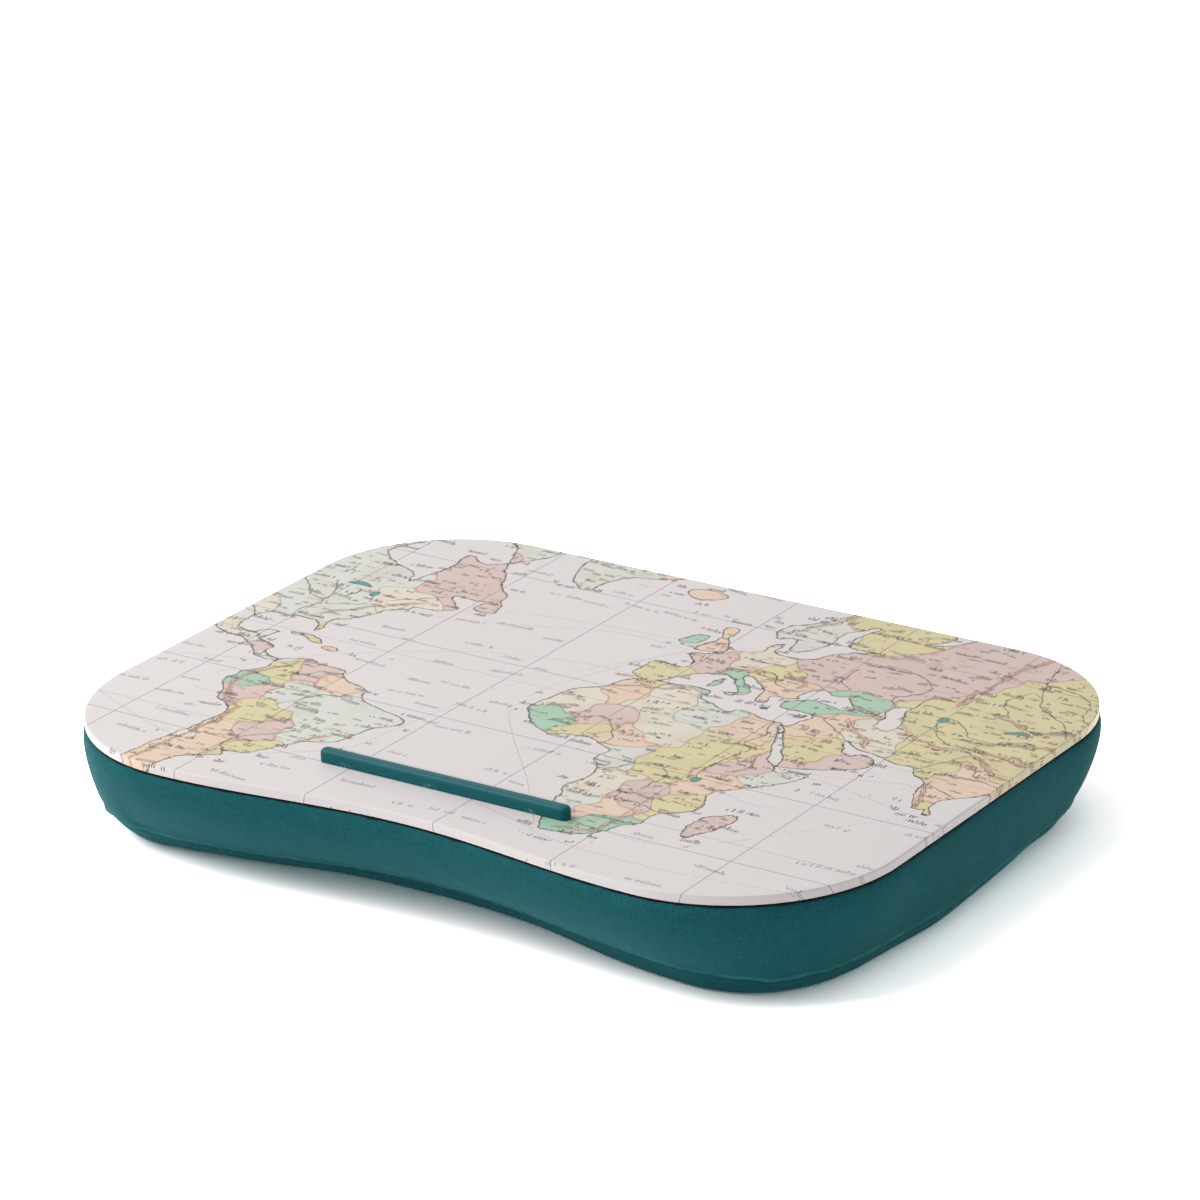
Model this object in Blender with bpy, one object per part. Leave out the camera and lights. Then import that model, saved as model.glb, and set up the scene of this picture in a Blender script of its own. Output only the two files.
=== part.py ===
# Lap tray for a laptop.
# A thin wood-fibre board wrapped in printed foil, with a moulded stop bar held
# by three screws from below, lies on a bead-filled cushion sewn from a black
# top panel, a cloth side band and a cloth bottom panel.
# Units are metres. +X is to the user's right, +Y is away from the user, +Z is
# up. The origin is on the floor, under the middle of the tray.

import math

import bmesh
import bpy

# Board
BOARD_LENGTH = 0.438
BOARD_DEPTH = 0.332
FRONT_CORNER_RADIUS = 0.086
BACK_CORNER_RADIUS = 0.077
WAIST_RECESS_DEPTH = 0.012
CORE_THICKNESS = 0.0038
FOIL_THICKNESS = 0.0004
FOIL_EDGE_RADIUS = 0.0006

# Gap kept between two pieces that rest on one another
SEAT_GAP = 0.0003

# Stop bar and its screws
STOP_LENGTH = 0.139
STOP_WIDTH = 0.0066
STOP_HEIGHT = 0.0062
STOP_CORNER_SHARE = 0.47
STOP_EDGE_RADIUS = 0.0022
STOP_SETBACK = 0.031
SCREW_SPACING_SHARE = 0.38
SCREW_DIAMETER = 0.0026
SCREW_LENGTH = 0.0088
SCREW_HEAD_DIAMETER = 0.0052
SCREW_HEAD_HEIGHT = 0.0016
SCREW_HEAD_RECESS = 0.0002
SCREW_TIP_LENGTH = 0.0010
SCREW_TIP_DIAMETER = 0.0012
SCREW_CLEARANCE = 0.0003
DRIVE_WIDTH = 0.0006
DRIVE_SPAN = 0.0026
DRIVE_DEPTH = 0.0008
CUT_OVERRUN = 0.0010

# Cushion
CUSHION_HEIGHT = 0.055
TOP_PANEL_THICKNESS = 0.0005
COVER_THICKNESS = 0.0008
SEAM_ALLOWANCE = 0.007
SEAM_HEIGHT = 0.0108
SIDE_SWELL = 0.0009
SIDE_DRAW = 0.0105
WAIST_DRAW = 0.024
WAIST_SPREAD = 0.168
BASE_TURN = 0.0155
BAG_THICKNESS = 0.0004

# Side profile of the cushion, from the board down to the lower seam. The
# first row is how far down, the second how much of the swell and the third
# how much of the draw has been taken.
SIDE_DROP_SHARES = (0.0, 0.15, 0.35, 0.57, 0.77, 0.90, 1.0)
SIDE_SWELL_SHARES = (0.3, 1.0, 0.6, 0.1, 0.0, 0.0, 0.0)
SIDE_DRAW_SHARES = (0.0, 0.0, 0.06, 0.18, 0.37, 0.63, 1.0)

# Base profile, from the lower seam in to the flat that rests on the floor.
# The first row is how much of the turn, the second how much of the height
# is left.
BASE_TURN_SHARES = (0.0, 0.20, 0.44, 0.70, 1.0)
BASE_HEIGHT_SHARES = (1.0, 0.53, 0.20, 0.04, 0.0)

# The cushion draws in deeper at the waist, most of it near the lower seam.
WAIST_POWER = 3.0

# Counts of points round the tray's outline
RECESS_STEPS = 8
CORNER_STEPS = 8
BAR_CORNER_STEPS = 4
EDGE_STEPS = 3
TURN_STEPS = 2
SCREW_SIDES = 16

# Edges sharper than this stay sharp when a piece is shaded smooth.
SMOOTH_DEGREES = 35.0

# Heights worked out from the sizes above
PANEL_TOP = CUSHION_HEIGHT
PANEL_BOTTOM = PANEL_TOP - TOP_PANEL_THICKNESS
BAND_TOP = PANEL_BOTTOM - SEAT_GAP
BAG_RIM = BAND_TOP - COVER_THICKNESS - 2 * SEAT_GAP - BAG_THICKNESS
BOARD_BOTTOM = CUSHION_HEIGHT + SEAT_GAP
CORE_TOP = BOARD_BOTTOM + CORE_THICKNESS
FOIL_TOP = CORE_TOP + SEAT_GAP + FOIL_THICKNESS
STOP_BOTTOM = FOIL_TOP + SEAT_GAP

# The bar's corners in plan are a share of its width.
STOP_CORNER_RADIUS = STOP_WIDTH * STOP_CORNER_SHARE

# Places worked out from the sizes above
HALF_LENGTH = BOARD_LENGTH / 2
HALF_DEPTH = BOARD_DEPTH / 2
STOP_MIDDLE_Y = -HALF_DEPTH + WAIST_RECESS_DEPTH + STOP_SETBACK + STOP_WIDTH / 2


def clear_scene():
    """Remove every object, so that the script starts from nothing."""
    for old in list(bpy.data.objects):
        bpy.data.objects.remove(old, do_unlink=True)


def material(name, colour, roughness, metallic):
    """One plain finish for one piece."""
    made = bpy.data.materials.new(name)
    made.use_nodes = True
    shader = made.node_tree.nodes["Principled BSDF"]
    shader.inputs["Base Color"].default_value = (*colour, 1.0)
    shader.inputs["Roughness"].default_value = roughness
    shader.inputs["Metallic"].default_value = metallic
    return made


def half_outline():
    """Points from the middle of the front, round the right side, to the back.

    Each entry is x, y and the outward direction. The front edge is one wave
    of a cosine, hollow at the waist, and the corners are quarter circles.
    """
    points = []
    front_x = HALF_LENGTH - FRONT_CORNER_RADIUS
    for step in range(RECESS_STEPS):
        turn = math.pi * step / RECESS_STEPS
        x = front_x * step / RECESS_STEPS
        y = -HALF_DEPTH + WAIST_RECESS_DEPTH * (1 + math.cos(turn)) / 2
        slope = -WAIST_RECESS_DEPTH * math.sin(turn) * math.pi / (2 * front_x)
        size = math.hypot(slope, 1)
        points.append((x, y, slope / size, -1 / size))
    for step in range(CORNER_STEPS + 1):
        turn = math.pi / 2 * step / CORNER_STEPS
        out_x = math.sin(turn)
        out_y = -math.cos(turn)
        x = front_x + FRONT_CORNER_RADIUS * out_x
        y = -HALF_DEPTH + FRONT_CORNER_RADIUS * (1 + out_y)
        points.append((x, y, out_x, out_y))
    for step in range(CORNER_STEPS + 1):
        turn = math.pi / 2 * step / CORNER_STEPS
        out_x = math.cos(turn)
        out_y = math.sin(turn)
        x = HALF_LENGTH - BACK_CORNER_RADIUS * (1 - out_x)
        y = HALF_DEPTH - BACK_CORNER_RADIUS * (1 - out_y)
        points.append((x, y, out_x, out_y))
    return points


def full_outline():
    """The whole outline, anticlockwise from above, from the front middle."""
    right = half_outline()
    left = [(-x, y, -out_x, out_y) for x, y, out_x, out_y in reversed(right[1:])]
    return right + left


def plain_ring(inset, height):
    """The board's outline drawn in by inset, at one height."""
    ring = []
    for x, y, out_x, out_y in full_outline():
        ring.append((x - out_x * inset, y - out_y * inset, height))
    return ring


def cushion_section(x, out_y):
    """The cover's outer section at one outline point, as inset and height.

    Returns the side, from the band's top to the lower seam, and the base,
    from the seam to the flat on the floor. The side draws in further at the
    waist, down to the seam, and the base follows it.
    """
    waist = WAIST_DRAW * math.exp(-((x / WAIST_SPREAD) ** 2)) * max(0.0, -out_y)
    side = []
    drop = BAND_TOP - SEAM_HEIGHT
    for down, swell, draw in zip(SIDE_DROP_SHARES, SIDE_SWELL_SHARES, SIDE_DRAW_SHARES):
        height = BAND_TOP - drop * down
        inset = SIDE_DRAW * draw - SIDE_SWELL * swell
        inset += waist * down ** WAIST_POWER
        side.append((inset, height))
    base = []
    for turn, left in zip(BASE_TURN_SHARES, BASE_HEIGHT_SHARES):
        height = SEAM_HEIGHT * left
        inset = SIDE_DRAW + waist + BASE_TURN * turn
        base.append((inset, height))
    return side, base


def offset_section(points, distance):
    """A section moved inwards by distance, square to itself."""
    moved = []
    for index, (inset, height) in enumerate(points):
        before = points[max(index - 1, 0)]
        after = points[min(index + 1, len(points) - 1)]
        run = after[0] - before[0]
        fall = before[1] - after[1]
        size = math.hypot(run, fall)
        moved.append((inset + distance * fall / size, height + distance * run / size))
    return moved


def rings_from_sections(sections):
    """Turn one section for each outline point into rings round the tray."""
    rings = []
    outline = full_outline()
    for index in range(len(sections[0])):
        ring = []
        for (x, y, out_x, out_y), section in zip(outline, sections):
            inset, height = section[index]
            ring.append((x - out_x * inset, y - out_y * inset, height))
        rings.append(ring)
    return rings


def skin(name, rings, finish, closed=False):
    """Bridge rings into one solid, capped at both ends or closed on itself."""
    mesh = bpy.data.meshes.new(name)
    build = bmesh.new()
    rows = [[build.verts.new(point) for point in ring] for ring in rings]
    pairs = list(zip(rows, rows[1:]))
    if closed:
        pairs.append((rows[-1], rows[0]))
    for first, second in pairs:
        count = len(first)
        for index in range(count):
            after = (index + 1) % count
            build.faces.new((first[index], first[after], second[after], second[index]))
    if not closed:
        build.faces.new(list(reversed(rows[0])))
        build.faces.new(rows[-1])
    bmesh.ops.recalc_face_normals(build, faces=build.faces)
    build.to_mesh(mesh)
    build.free()
    mesh.shade_smooth()
    mesh.set_sharp_from_angle(angle=math.radians(SMOOTH_DEGREES))
    mesh.materials.append(finish)
    made = bpy.data.objects.new(name, mesh)
    bpy.context.scene.collection.objects.link(made)
    return made


def turned(name, profile, sides, finish):
    """A solid turned about +Z from rows of radius and height."""
    rings = []
    for radius, height in profile:
        ring = []
        for step in range(sides):
            angle = 2 * math.pi * step / sides
            ring.append((radius * math.cos(angle), radius * math.sin(angle), height))
        rings.append(ring)
    return skin(name, rings, finish)


def cut(target, cutter):
    """Take the cutter's shape out of the target."""
    cutter.hide_render = True
    cutter.display_type = "WIRE"
    change = target.modifiers.new("cut " + cutter.name, "BOOLEAN")
    change.operation = "DIFFERENCE"
    change.solver = "EXACT"
    change.object = cutter
    return change


def screw_places():
    """The three screws' places along the bar, with their names."""
    spacing = STOP_LENGTH * SCREW_SPACING_SHARE
    return (("left", -spacing), ("middle", 0.0), ("right", spacing))


def make_board_core():
    """The wood-fibre board, pierced and countersunk from below for the screws."""
    inset = FOIL_THICKNESS + SEAT_GAP
    rings = [plain_ring(inset, BOARD_BOTTOM), plain_ring(inset, CORE_TOP)]
    finish = material("raw fibre board", (0.36, 0.25, 0.15), 0.9, 0.0)
    core = skin("board_core", rings, finish)
    hole = SCREW_DIAMETER / 2 + SCREW_CLEARANCE
    sink = SCREW_HEAD_DIAMETER / 2 + SCREW_CLEARANCE
    sink_top = BOARD_BOTTOM + SCREW_HEAD_RECESS + SCREW_HEAD_HEIGHT
    profile = (
        (sink, BOARD_BOTTOM - CUT_OVERRUN),
        (sink, BOARD_BOTTOM + SCREW_HEAD_RECESS + SCREW_CLEARANCE),
        (hole, sink_top + SCREW_CLEARANCE),
        (hole, CORE_TOP + CUT_OVERRUN),
    )
    for side, x in screw_places():
        cutter = turned("core_hole_" + side, profile, SCREW_SIDES, finish)
        cutter.location = (x, STOP_MIDDLE_Y, 0.0)
        cut(core, cutter)
    return core


def make_print_foil():
    """The printed foil over the board's top and down its edge."""
    outer = [plain_ring(0.0, BOARD_BOTTOM)]
    for step in range(EDGE_STEPS + 1):
        turn = math.pi / 2 * step / EDGE_STEPS
        inset = FOIL_EDGE_RADIUS * (1 - math.cos(turn))
        height = FOIL_TOP - FOIL_EDGE_RADIUS * (1 - math.sin(turn))
        outer.append(plain_ring(inset, height))
    inner = [
        plain_ring(FOIL_THICKNESS, CORE_TOP + SEAT_GAP),
        plain_ring(FOIL_THICKNESS, BOARD_BOTTOM),
    ]
    outer.reverse()
    inner.reverse()
    finish = material("printed foil", (0.82, 0.79, 0.76), 0.45, 0.0)
    foil = skin("print_foil", outer + inner, finish)
    hole = SCREW_DIAMETER / 2 + SCREW_CLEARANCE
    profile = ((hole, CORE_TOP - CUT_OVERRUN), (hole, FOIL_TOP + CUT_OVERRUN))
    for side, x in screw_places():
        cutter = turned("foil_hole_" + side, profile, SCREW_SIDES, finish)
        cutter.location = (x, STOP_MIDDLE_Y, 0.0)
        cut(foil, cutter)
    return foil


def bar_ring(inset, height):
    """The stop bar's rounded plan drawn in by inset, at one height."""
    reach_x = STOP_LENGTH / 2 - STOP_CORNER_RADIUS
    reach_y = STOP_WIDTH / 2 - STOP_CORNER_RADIUS
    radius = STOP_CORNER_RADIUS - inset
    ring = []
    for corner, (side_x, side_y) in enumerate(((1, -1), (1, 1), (-1, 1), (-1, -1))):
        for step in range(BAR_CORNER_STEPS + 1):
            angle = math.pi / 2 * (corner - 1 + step / BAR_CORNER_STEPS)
            x = side_x * reach_x + radius * math.cos(angle)
            y = side_y * reach_y + radius * math.sin(angle)
            ring.append((x, STOP_MIDDLE_Y + y, height))
    return ring


def make_stop_bar():
    """The moulded bar, with a blind pilot hole for each screw."""
    rings = [bar_ring(0.0, STOP_BOTTOM)]
    for step in range(EDGE_STEPS + 1):
        turn = math.pi / 2 * step / EDGE_STEPS
        inset = STOP_EDGE_RADIUS * (1 - math.cos(turn))
        height = STOP_BOTTOM + STOP_HEIGHT - STOP_EDGE_RADIUS * (1 - math.sin(turn))
        rings.append(bar_ring(inset, height))
    finish = material("teal moulded plastic", (0.01, 0.16, 0.17), 0.35, 0.0)
    bar = skin("stop_bar", rings, finish)
    hole = SCREW_DIAMETER / 2 + SCREW_CLEARANCE
    screw_tip = BOARD_BOTTOM + SCREW_HEAD_RECESS + SCREW_LENGTH
    profile = ((hole, STOP_BOTTOM - CUT_OVERRUN), (hole, screw_tip + SCREW_CLEARANCE))
    for side, x in screw_places():
        cutter = turned("bar_hole_" + side, profile, SCREW_SIDES, finish)
        cutter.location = (x, STOP_MIDDLE_Y, 0.0)
        cut(bar, cutter)
    return bar


def drive_ring(height):
    """A cross outline for the screw's drive recess."""
    narrow = DRIVE_WIDTH / 2
    wide = DRIVE_SPAN / 2
    quarter = ((wide, -narrow), (wide, narrow), (narrow, narrow))
    ring = []
    for turn in range(4):
        angle = math.pi / 2 * turn
        for x, y in quarter:
            ring.append((
                x * math.cos(angle) - y * math.sin(angle),
                x * math.sin(angle) + y * math.cos(angle),
                height,
            ))
    return ring


def make_screws():
    """Three countersunk screws, driven from below, tips up in the bar."""
    finish = material("zinc plated steel", (0.62, 0.62, 0.60), 0.35, 1.0)
    head = BOARD_BOTTOM + SCREW_HEAD_RECESS
    tip = head + SCREW_LENGTH
    profile = (
        (SCREW_HEAD_DIAMETER / 2, head),
        (SCREW_DIAMETER / 2, head + SCREW_HEAD_HEIGHT),
        (SCREW_DIAMETER / 2, tip - SCREW_TIP_LENGTH),
        (SCREW_TIP_DIAMETER / 2, tip),
    )
    rings = [drive_ring(head - CUT_OVERRUN), drive_ring(head + DRIVE_DEPTH)]
    for side, x in screw_places():
        screw = turned("stop_screw_" + side, profile, SCREW_SIDES, finish)
        screw.location = (x, STOP_MIDDLE_Y, 0.0)
        cutter = skin("drive_" + side, rings, finish)
        cutter.location = (x, STOP_MIDDLE_Y, 0.0)
        cut(screw, cutter)


def make_top_panel():
    """The black cloth that is glued to the board."""
    rings = [plain_ring(SEAT_GAP, PANEL_BOTTOM), plain_ring(SEAT_GAP, PANEL_TOP)]
    finish = material("black cloth", (0.012, 0.012, 0.013), 0.95, 0.0)
    return skin("cushion_top_panel", rings, finish)


def point_along(points, length):
    """The point of a section that lies a length along it from its start."""
    left = length
    for before, after in zip(points, points[1:]):
        run = math.hypot(after[0] - before[0], after[1] - before[1])
        if run >= left:
            share = left / run
            inset = before[0] + (after[0] - before[0]) * share
            height = before[1] + (after[1] - before[1]) * share
            return inset, height
        left -= run
    return points[-1]


def inset_at(points, height):
    """How far in a falling section lies at one height."""
    for before, after in zip(points, points[1:]):
        if after[1] <= height:
            share = (before[1] - height) / (before[1] - after[1])
            return before[0] + (after[0] - before[0]) * share
    return points[-1][0]


def sections_round(shape):
    """One section for each outline point, made by the shape function."""
    sections = []
    for x, _, _, out_y in full_outline():
        side, base = cushion_section(x, out_y)
        sections.append(shape(side, base))
    return sections


def band_section(side, base):
    """The band's cloth: a turned-in edge, the wall and a turned-in edge.

    The upper turned edge lies under the top panel and the lower one inside
    the bottom panel, where the seams are sewn.
    """
    inner = offset_section(side, COVER_THICKNESS)
    under = offset_section(base, COVER_THICKNESS + SEAT_GAP)
    over = offset_section(base, 2 * COVER_THICKNESS + SEAT_GAP)
    stops = [SEAM_ALLOWANCE * step / TURN_STEPS for step in range(TURN_STEPS + 1)]
    section = list(side)
    section += [point_along(under, stop) for stop in stops]
    section += [point_along(over, stop) for stop in reversed(stops)]
    section += list(reversed(inner[1:-1]))
    section.append((inner[0][0], BAND_TOP - COVER_THICKNESS))
    section.append((SEAM_ALLOWANCE, BAND_TOP - COVER_THICKNESS))
    section.append((SEAM_ALLOWANCE, BAND_TOP))
    return section


def make_side_band():
    """The teal cloth round the cushion, from the top seam to the lower one."""
    finish = material("teal cloth side", (0.012, 0.118, 0.125), 0.8, 0.0)
    rings = rings_from_sections(sections_round(band_section))
    return skin("side_band", rings, finish, closed=True)


def dish(name, rings, finish):
    """A deep sheet, from rings that run down its outside and back up inside."""
    half = len(rings) // 2
    outside = list(reversed(rings[:half]))
    inside = list(reversed(rings[half:]))
    return skin(name, outside + inside, finish)


def panel_section(side, base):
    """The bottom panel's cloth, from its sewn edge to the flat and back."""
    outer = [point_along(base, SEAT_GAP)] + base[1:]
    return outer + list(reversed(offset_section(outer, COVER_THICKNESS)))


def make_bottom_panel():
    """The teal cloth under the cushion, flat where it rests on the floor."""
    finish = material("teal cloth base", (0.010, 0.095, 0.102), 0.85, 0.0)
    rings = rings_from_sections(sections_round(panel_section))
    return dish("bottom_panel", rings, finish)


def bag_outer(side, base):
    """The bag's outer section, clear of the cover and its turned edges."""
    near = COVER_THICKNESS + SEAT_GAP
    far = 2 * near
    wall = offset_section(side, near)
    foot = offset_section(side, far)
    over = offset_section(base, far)
    floor = offset_section(base, near)
    section = [(inset_at(wall, BAG_RIM), BAG_RIM)]
    section += wall[1:-2]
    section.append(foot[-2])
    section.append(over[0])
    section.append(point_along(over, SEAM_ALLOWANCE + COVER_THICKNESS))
    section.append(point_along(floor, SEAM_ALLOWANCE + 2 * far))
    section.append(floor[-1])
    return section


def bag_section(side, base):
    """The lower bag sheet, out and back."""
    outer = bag_outer(side, base)
    inner = offset_section(outer, BAG_THICKNESS)
    inner[0] = (inner[0][0], BAG_RIM)
    return outer + list(reversed(inner))


def fill_section(side, base):
    """The bead filling, just inside the bag."""
    outer = offset_section(bag_outer(side, base), BAG_THICKNESS + SEAT_GAP)
    outer[0] = (outer[0][0], BAG_RIM)
    return outer


def make_inner_bag():
    """The two thin sheets of the bag: a flat upper one and a deep lower one."""
    finish = material("white bag cloth", (0.72, 0.72, 0.70), 0.9, 0.0)
    inset = COVER_THICKNESS + SEAT_GAP
    low = BAG_RIM + SEAT_GAP
    rings = [plain_ring(inset, low), plain_ring(inset, low + BAG_THICKNESS)]
    skin("inner_bag_upper", rings, finish)
    rings = rings_from_sections(sections_round(bag_section))
    dish("inner_bag_lower", rings, finish)


def make_bead_fill():
    """The filling of light foam beads, as one settled mass."""
    finish = material("white foam beads", (0.86, 0.86, 0.84), 0.7, 0.0)
    rings = rings_from_sections(sections_round(fill_section))
    return skin("bead_fill", rings, finish)


def main():
    """Build the tray from the board down."""
    clear_scene()
    make_board_core()
    make_print_foil()
    make_stop_bar()
    make_screws()
    make_top_panel()
    make_side_band()
    make_bottom_panel()
    make_inner_bag()
    make_bead_fill()


main()
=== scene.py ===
# %% [markdown]
# # A lap tray for a laptop
# A thin fibre board, wrapped in a printed film, lies on a cushion filled with
# foam beads. A low moulded bar near the front edge stops a laptop from
# sliding off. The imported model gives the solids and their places. This
# lesson makes the fine surfaces and the finishes that go over them.

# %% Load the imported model
import math

import bpy
import numpy as np
from mathutils import Matrix, Vector


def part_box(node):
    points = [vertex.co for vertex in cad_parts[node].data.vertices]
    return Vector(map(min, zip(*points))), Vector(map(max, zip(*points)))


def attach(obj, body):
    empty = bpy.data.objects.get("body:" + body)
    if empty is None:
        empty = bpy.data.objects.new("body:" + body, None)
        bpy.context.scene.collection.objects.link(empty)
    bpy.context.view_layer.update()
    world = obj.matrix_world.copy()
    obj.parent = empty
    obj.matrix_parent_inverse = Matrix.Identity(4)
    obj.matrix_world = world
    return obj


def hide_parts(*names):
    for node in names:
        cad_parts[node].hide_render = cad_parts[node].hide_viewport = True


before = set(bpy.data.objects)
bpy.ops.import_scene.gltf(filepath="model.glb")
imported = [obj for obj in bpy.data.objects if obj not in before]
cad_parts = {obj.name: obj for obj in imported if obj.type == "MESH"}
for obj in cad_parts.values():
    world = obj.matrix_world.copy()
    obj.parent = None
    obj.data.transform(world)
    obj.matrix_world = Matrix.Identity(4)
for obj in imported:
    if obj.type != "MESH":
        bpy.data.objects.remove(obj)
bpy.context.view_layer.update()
print("packed model:", sorted(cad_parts))

# %% [markdown]
# ## Sums on sockets
# A procedural finish is a long sum of small steps. Drawn as nodes it is hard
# to read, so a small class stands for one output of the shader tree, and
# plain Python operators add the Math nodes behind it.

# %% A value in a shader tree
MATH = "ShaderNodeMath"


class Value:
    """One output socket. Sums on it add Math nodes to its tree."""

    def __init__(self, look, socket):
        self.look = look
        self.socket = socket

    def math(self, operation, *others):
        """A Math node of this value and up to two more."""
        sockets = {index: part for index, part in enumerate((self, *others))}
        return self.look.node(MATH, {"operation": operation}, sockets)

    def __add__(self, other):
        return self.math("ADD", other)

    __radd__ = __add__

    def __mul__(self, other):
        return self.math("MULTIPLY", other)

    __rmul__ = __mul__

    def __sub__(self, other):
        return self.math("SUBTRACT", other)

    def __rsub__(self, other):
        return self * -1.0 + other

    def __truediv__(self, other):
        return self.math("DIVIDE", other)

    def __abs__(self):
        return self.math("ABSOLUTE")

    def __gt__(self, other):
        return self.math("GREATER_THAN", other)

    def __lt__(self, other):
        return self.math("LESS_THAN", other)

    def sine(self):
        """The sine of this value, in radians."""
        return self.math("SINE")

    def least(self, other):
        """The smaller of two values."""
        return self.math("MINIMUM", other)

    def most(self, other):
        """The larger of two values."""
        return self.math("MAXIMUM", other)

    def wrap(self, high, low):
        """This value carried back into a range, as a clock's hand is."""
        return self.math("WRAP", high, low)


# %% [markdown]
# ## One finish at a time
# A finish is a material with one Principled shader. What is the same all
# over goes straight onto the shader's sockets. What changes over the surface
# is linked, and only into the sockets that an export can bake.

# %% A finish and its nodes
class Look:
    """A material in the making, with one method that adds any node."""

    def __init__(self, name, roughness, metallic=0.0, **plain):
        """Start a finish. Plain names more sockets, as in sheen_weight=0.02."""
        self.material = bpy.data.materials.new(name)
        self.material.use_nodes = True
        self.tree = self.material.node_tree
        self.shader = self.tree.nodes["Principled BSDF"]
        self.shader.inputs["Roughness"].default_value = roughness
        self.shader.inputs["Metallic"].default_value = metallic
        for name, value in plain.items():
            socket = name.replace("_", " ").title().replace("Ior", "IOR")
            self.shader.inputs[socket].default_value = value

    def put(self, socket, value):
        """Link a value or set a number or colour on one input socket."""
        if isinstance(value, Value):
            self.tree.links.new(value.socket, socket)
        else:
            socket.default_value = value

    def node(self, kind, settings=None, sockets=None, output=0):
        """Add a node: its settings first, then its sockets, by name or number."""
        made = self.tree.nodes.new(kind)
        for name, setting in (settings or {}).items():
            setattr(made, name, setting)
        for name, value in (sockets or {}).items():
            self.put(made.inputs[name], value)
        return Value(self, made.outputs[output])

    def place(self):
        """Where the shaded point is on the tray, in metres."""
        return self.node("ShaderNodeTexCoord", output="Object")

    def axes(self, vector):
        """The x, y and z of a vector, as three values."""
        split = self.node("ShaderNodeSeparateXYZ", None, {0: vector}).socket.node
        return [Value(self, split.outputs[axis]) for axis in range(3)]

    def vector(self, x=0.0, y=0.0, z=0.0):
        """A vector from three values."""
        return self.node("ShaderNodeCombineXYZ", None, {0: x, 1: y, 2: z})

    def noise(self, where, size, detail=2.0, roughness=0.5):
        """Soft noise from 0 to 1, with lumps of the given size in metres."""
        sockets = {"Vector": where, "Scale": 1.0 / size, "Detail": detail, "Roughness": roughness}
        return self.node("ShaderNodeTexNoise", None, sockets)

    def attribute(self, name):
        """A number that the mesh carries at each of its points."""
        return self.node("ShaderNodeAttribute", {"attribute_name": name}, output="Fac")

    def ease(self, value, low, high, start=0.0, end=1.0):
        """A smooth step: start up to low, end from high on."""
        sockets = {0: value, 1: low, 2: high, 3: start, 4: end}
        return self.node("ShaderNodeMapRange", {"interpolation_type": "SMOOTHSTEP"}, sockets)

    def mix(self, share, first, second):
        """The first colour where share is 0, the second where it is 1."""
        sockets = {0: share, 6: first, 7: second}
        return self.node("ShaderNodeMix", {"data_type": "RGBA"}, sockets, output=2)

    def colour(self, value):
        """Give the shader its base colour."""
        self.put(self.shader.inputs["Base Color"], value)

    def rough(self, value):
        """Give the shader its roughness."""
        self.put(self.shader.inputs["Roughness"], value)

    def relief(self, height, depth, strength=1.0):
        """Bump the surface: height goes from 0 to 1, and depth is in metres."""
        sockets = {"Height": height, "Distance": depth, "Strength": strength}
        self.put(self.shader.inputs["Normal"], self.node("ShaderNodeBump", None, sockets))


def paint(red, green, blue):
    """A colour as a painter reads it, 0 to 255, in the shader's linear light."""
    shares = np.array([red, green, blue]) / 255.0
    linear = np.where(shares <= 0.04045, shares / 12.92, ((shares + 0.055) / 1.055) ** 2.4)
    return (*(float(part) for part in linear), 1.0)


print("a pale grey in linear light:", [round(part, 3) for part in paint(232, 226, 223)])

# %% [markdown]
# ## The camera
# The photograph looks down on the tray from its front right corner with a
# long lens, which keeps far edges nearly parallel to near ones. The camera
# is placed by its eye, the way that it looks and its own upward way.

# %% Camera
EYE = Vector((1.3318, -1.9811, 1.0392))
LOOK = Vector((-0.51779, 0.77528, -0.36171))
UP = Vector((-0.18277, 0.31280, 0.93207))
LENS_MM = 161.76
SENSOR_MM = 36.0


def linked(name, data):
    """A new object in the scene, at the origin."""
    made = bpy.data.objects.new(name, data)
    bpy.context.scene.collection.objects.link(made)
    return made


side = LOOK.cross(UP).normalized()
up = side.cross(LOOK).normalized()
turn = Matrix((side, up, -LOOK)).transposed().to_4x4()
camera = linked("camera", bpy.data.cameras.new("camera"))
camera.matrix_world = Matrix.Translation(EYE) @ turn
camera.data.lens = LENS_MM
camera.data.sensor_width = SENSOR_MM
bpy.context.scene.camera = camera
bpy.context.scene.view_settings.view_transform = "Standard"
print("camera", round(EYE.length, 3), "m away")

# %% [markdown]
# ## Light and floor
# One large soft lamp from the upper left gives the front wall its even tone
# and the right wall its shade. A pale world fills the rest. The floor is
# white paper, lit past white as in a product photograph: the camera sees it
# brighter than it is, a little more so away from the cushion, so only the
# deep part of the shadow stays grey. It glows a little too, as a light table
# does, which lifts the lower part of the walls.

# %% World
WORLD_FILL = 0.33
WHITE = (1.0, 1.0, 1.0, 1.0)

world = bpy.data.worlds.new("studio")
bpy.context.scene.world = world
world.use_nodes = True
sky = world.node_tree
background = sky.nodes["Background"]
background.inputs["Color"].default_value = WHITE
rays = sky.nodes.new("ShaderNodeLightPath")
seen = rays.outputs["Is Camera Ray"]
for name in ("Is Glossy Ray", "Is Transmission Ray"):
    either = sky.nodes.new(MATH)
    either.operation = "MAXIMUM"
    sky.links.new(seen, either.inputs[0])
    sky.links.new(rays.outputs[name], either.inputs[1])
    seen = either.outputs[0]
level = sky.nodes.new("ShaderNodeMapRange")
level.inputs["To Min"].default_value = WORLD_FILL
level.inputs["To Max"].default_value = 1.0
sky.links.new(seen, level.inputs["Value"])
sky.links.new(level.outputs[0], background.inputs["Strength"])
print("world fills shade with", WORLD_FILL)

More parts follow.
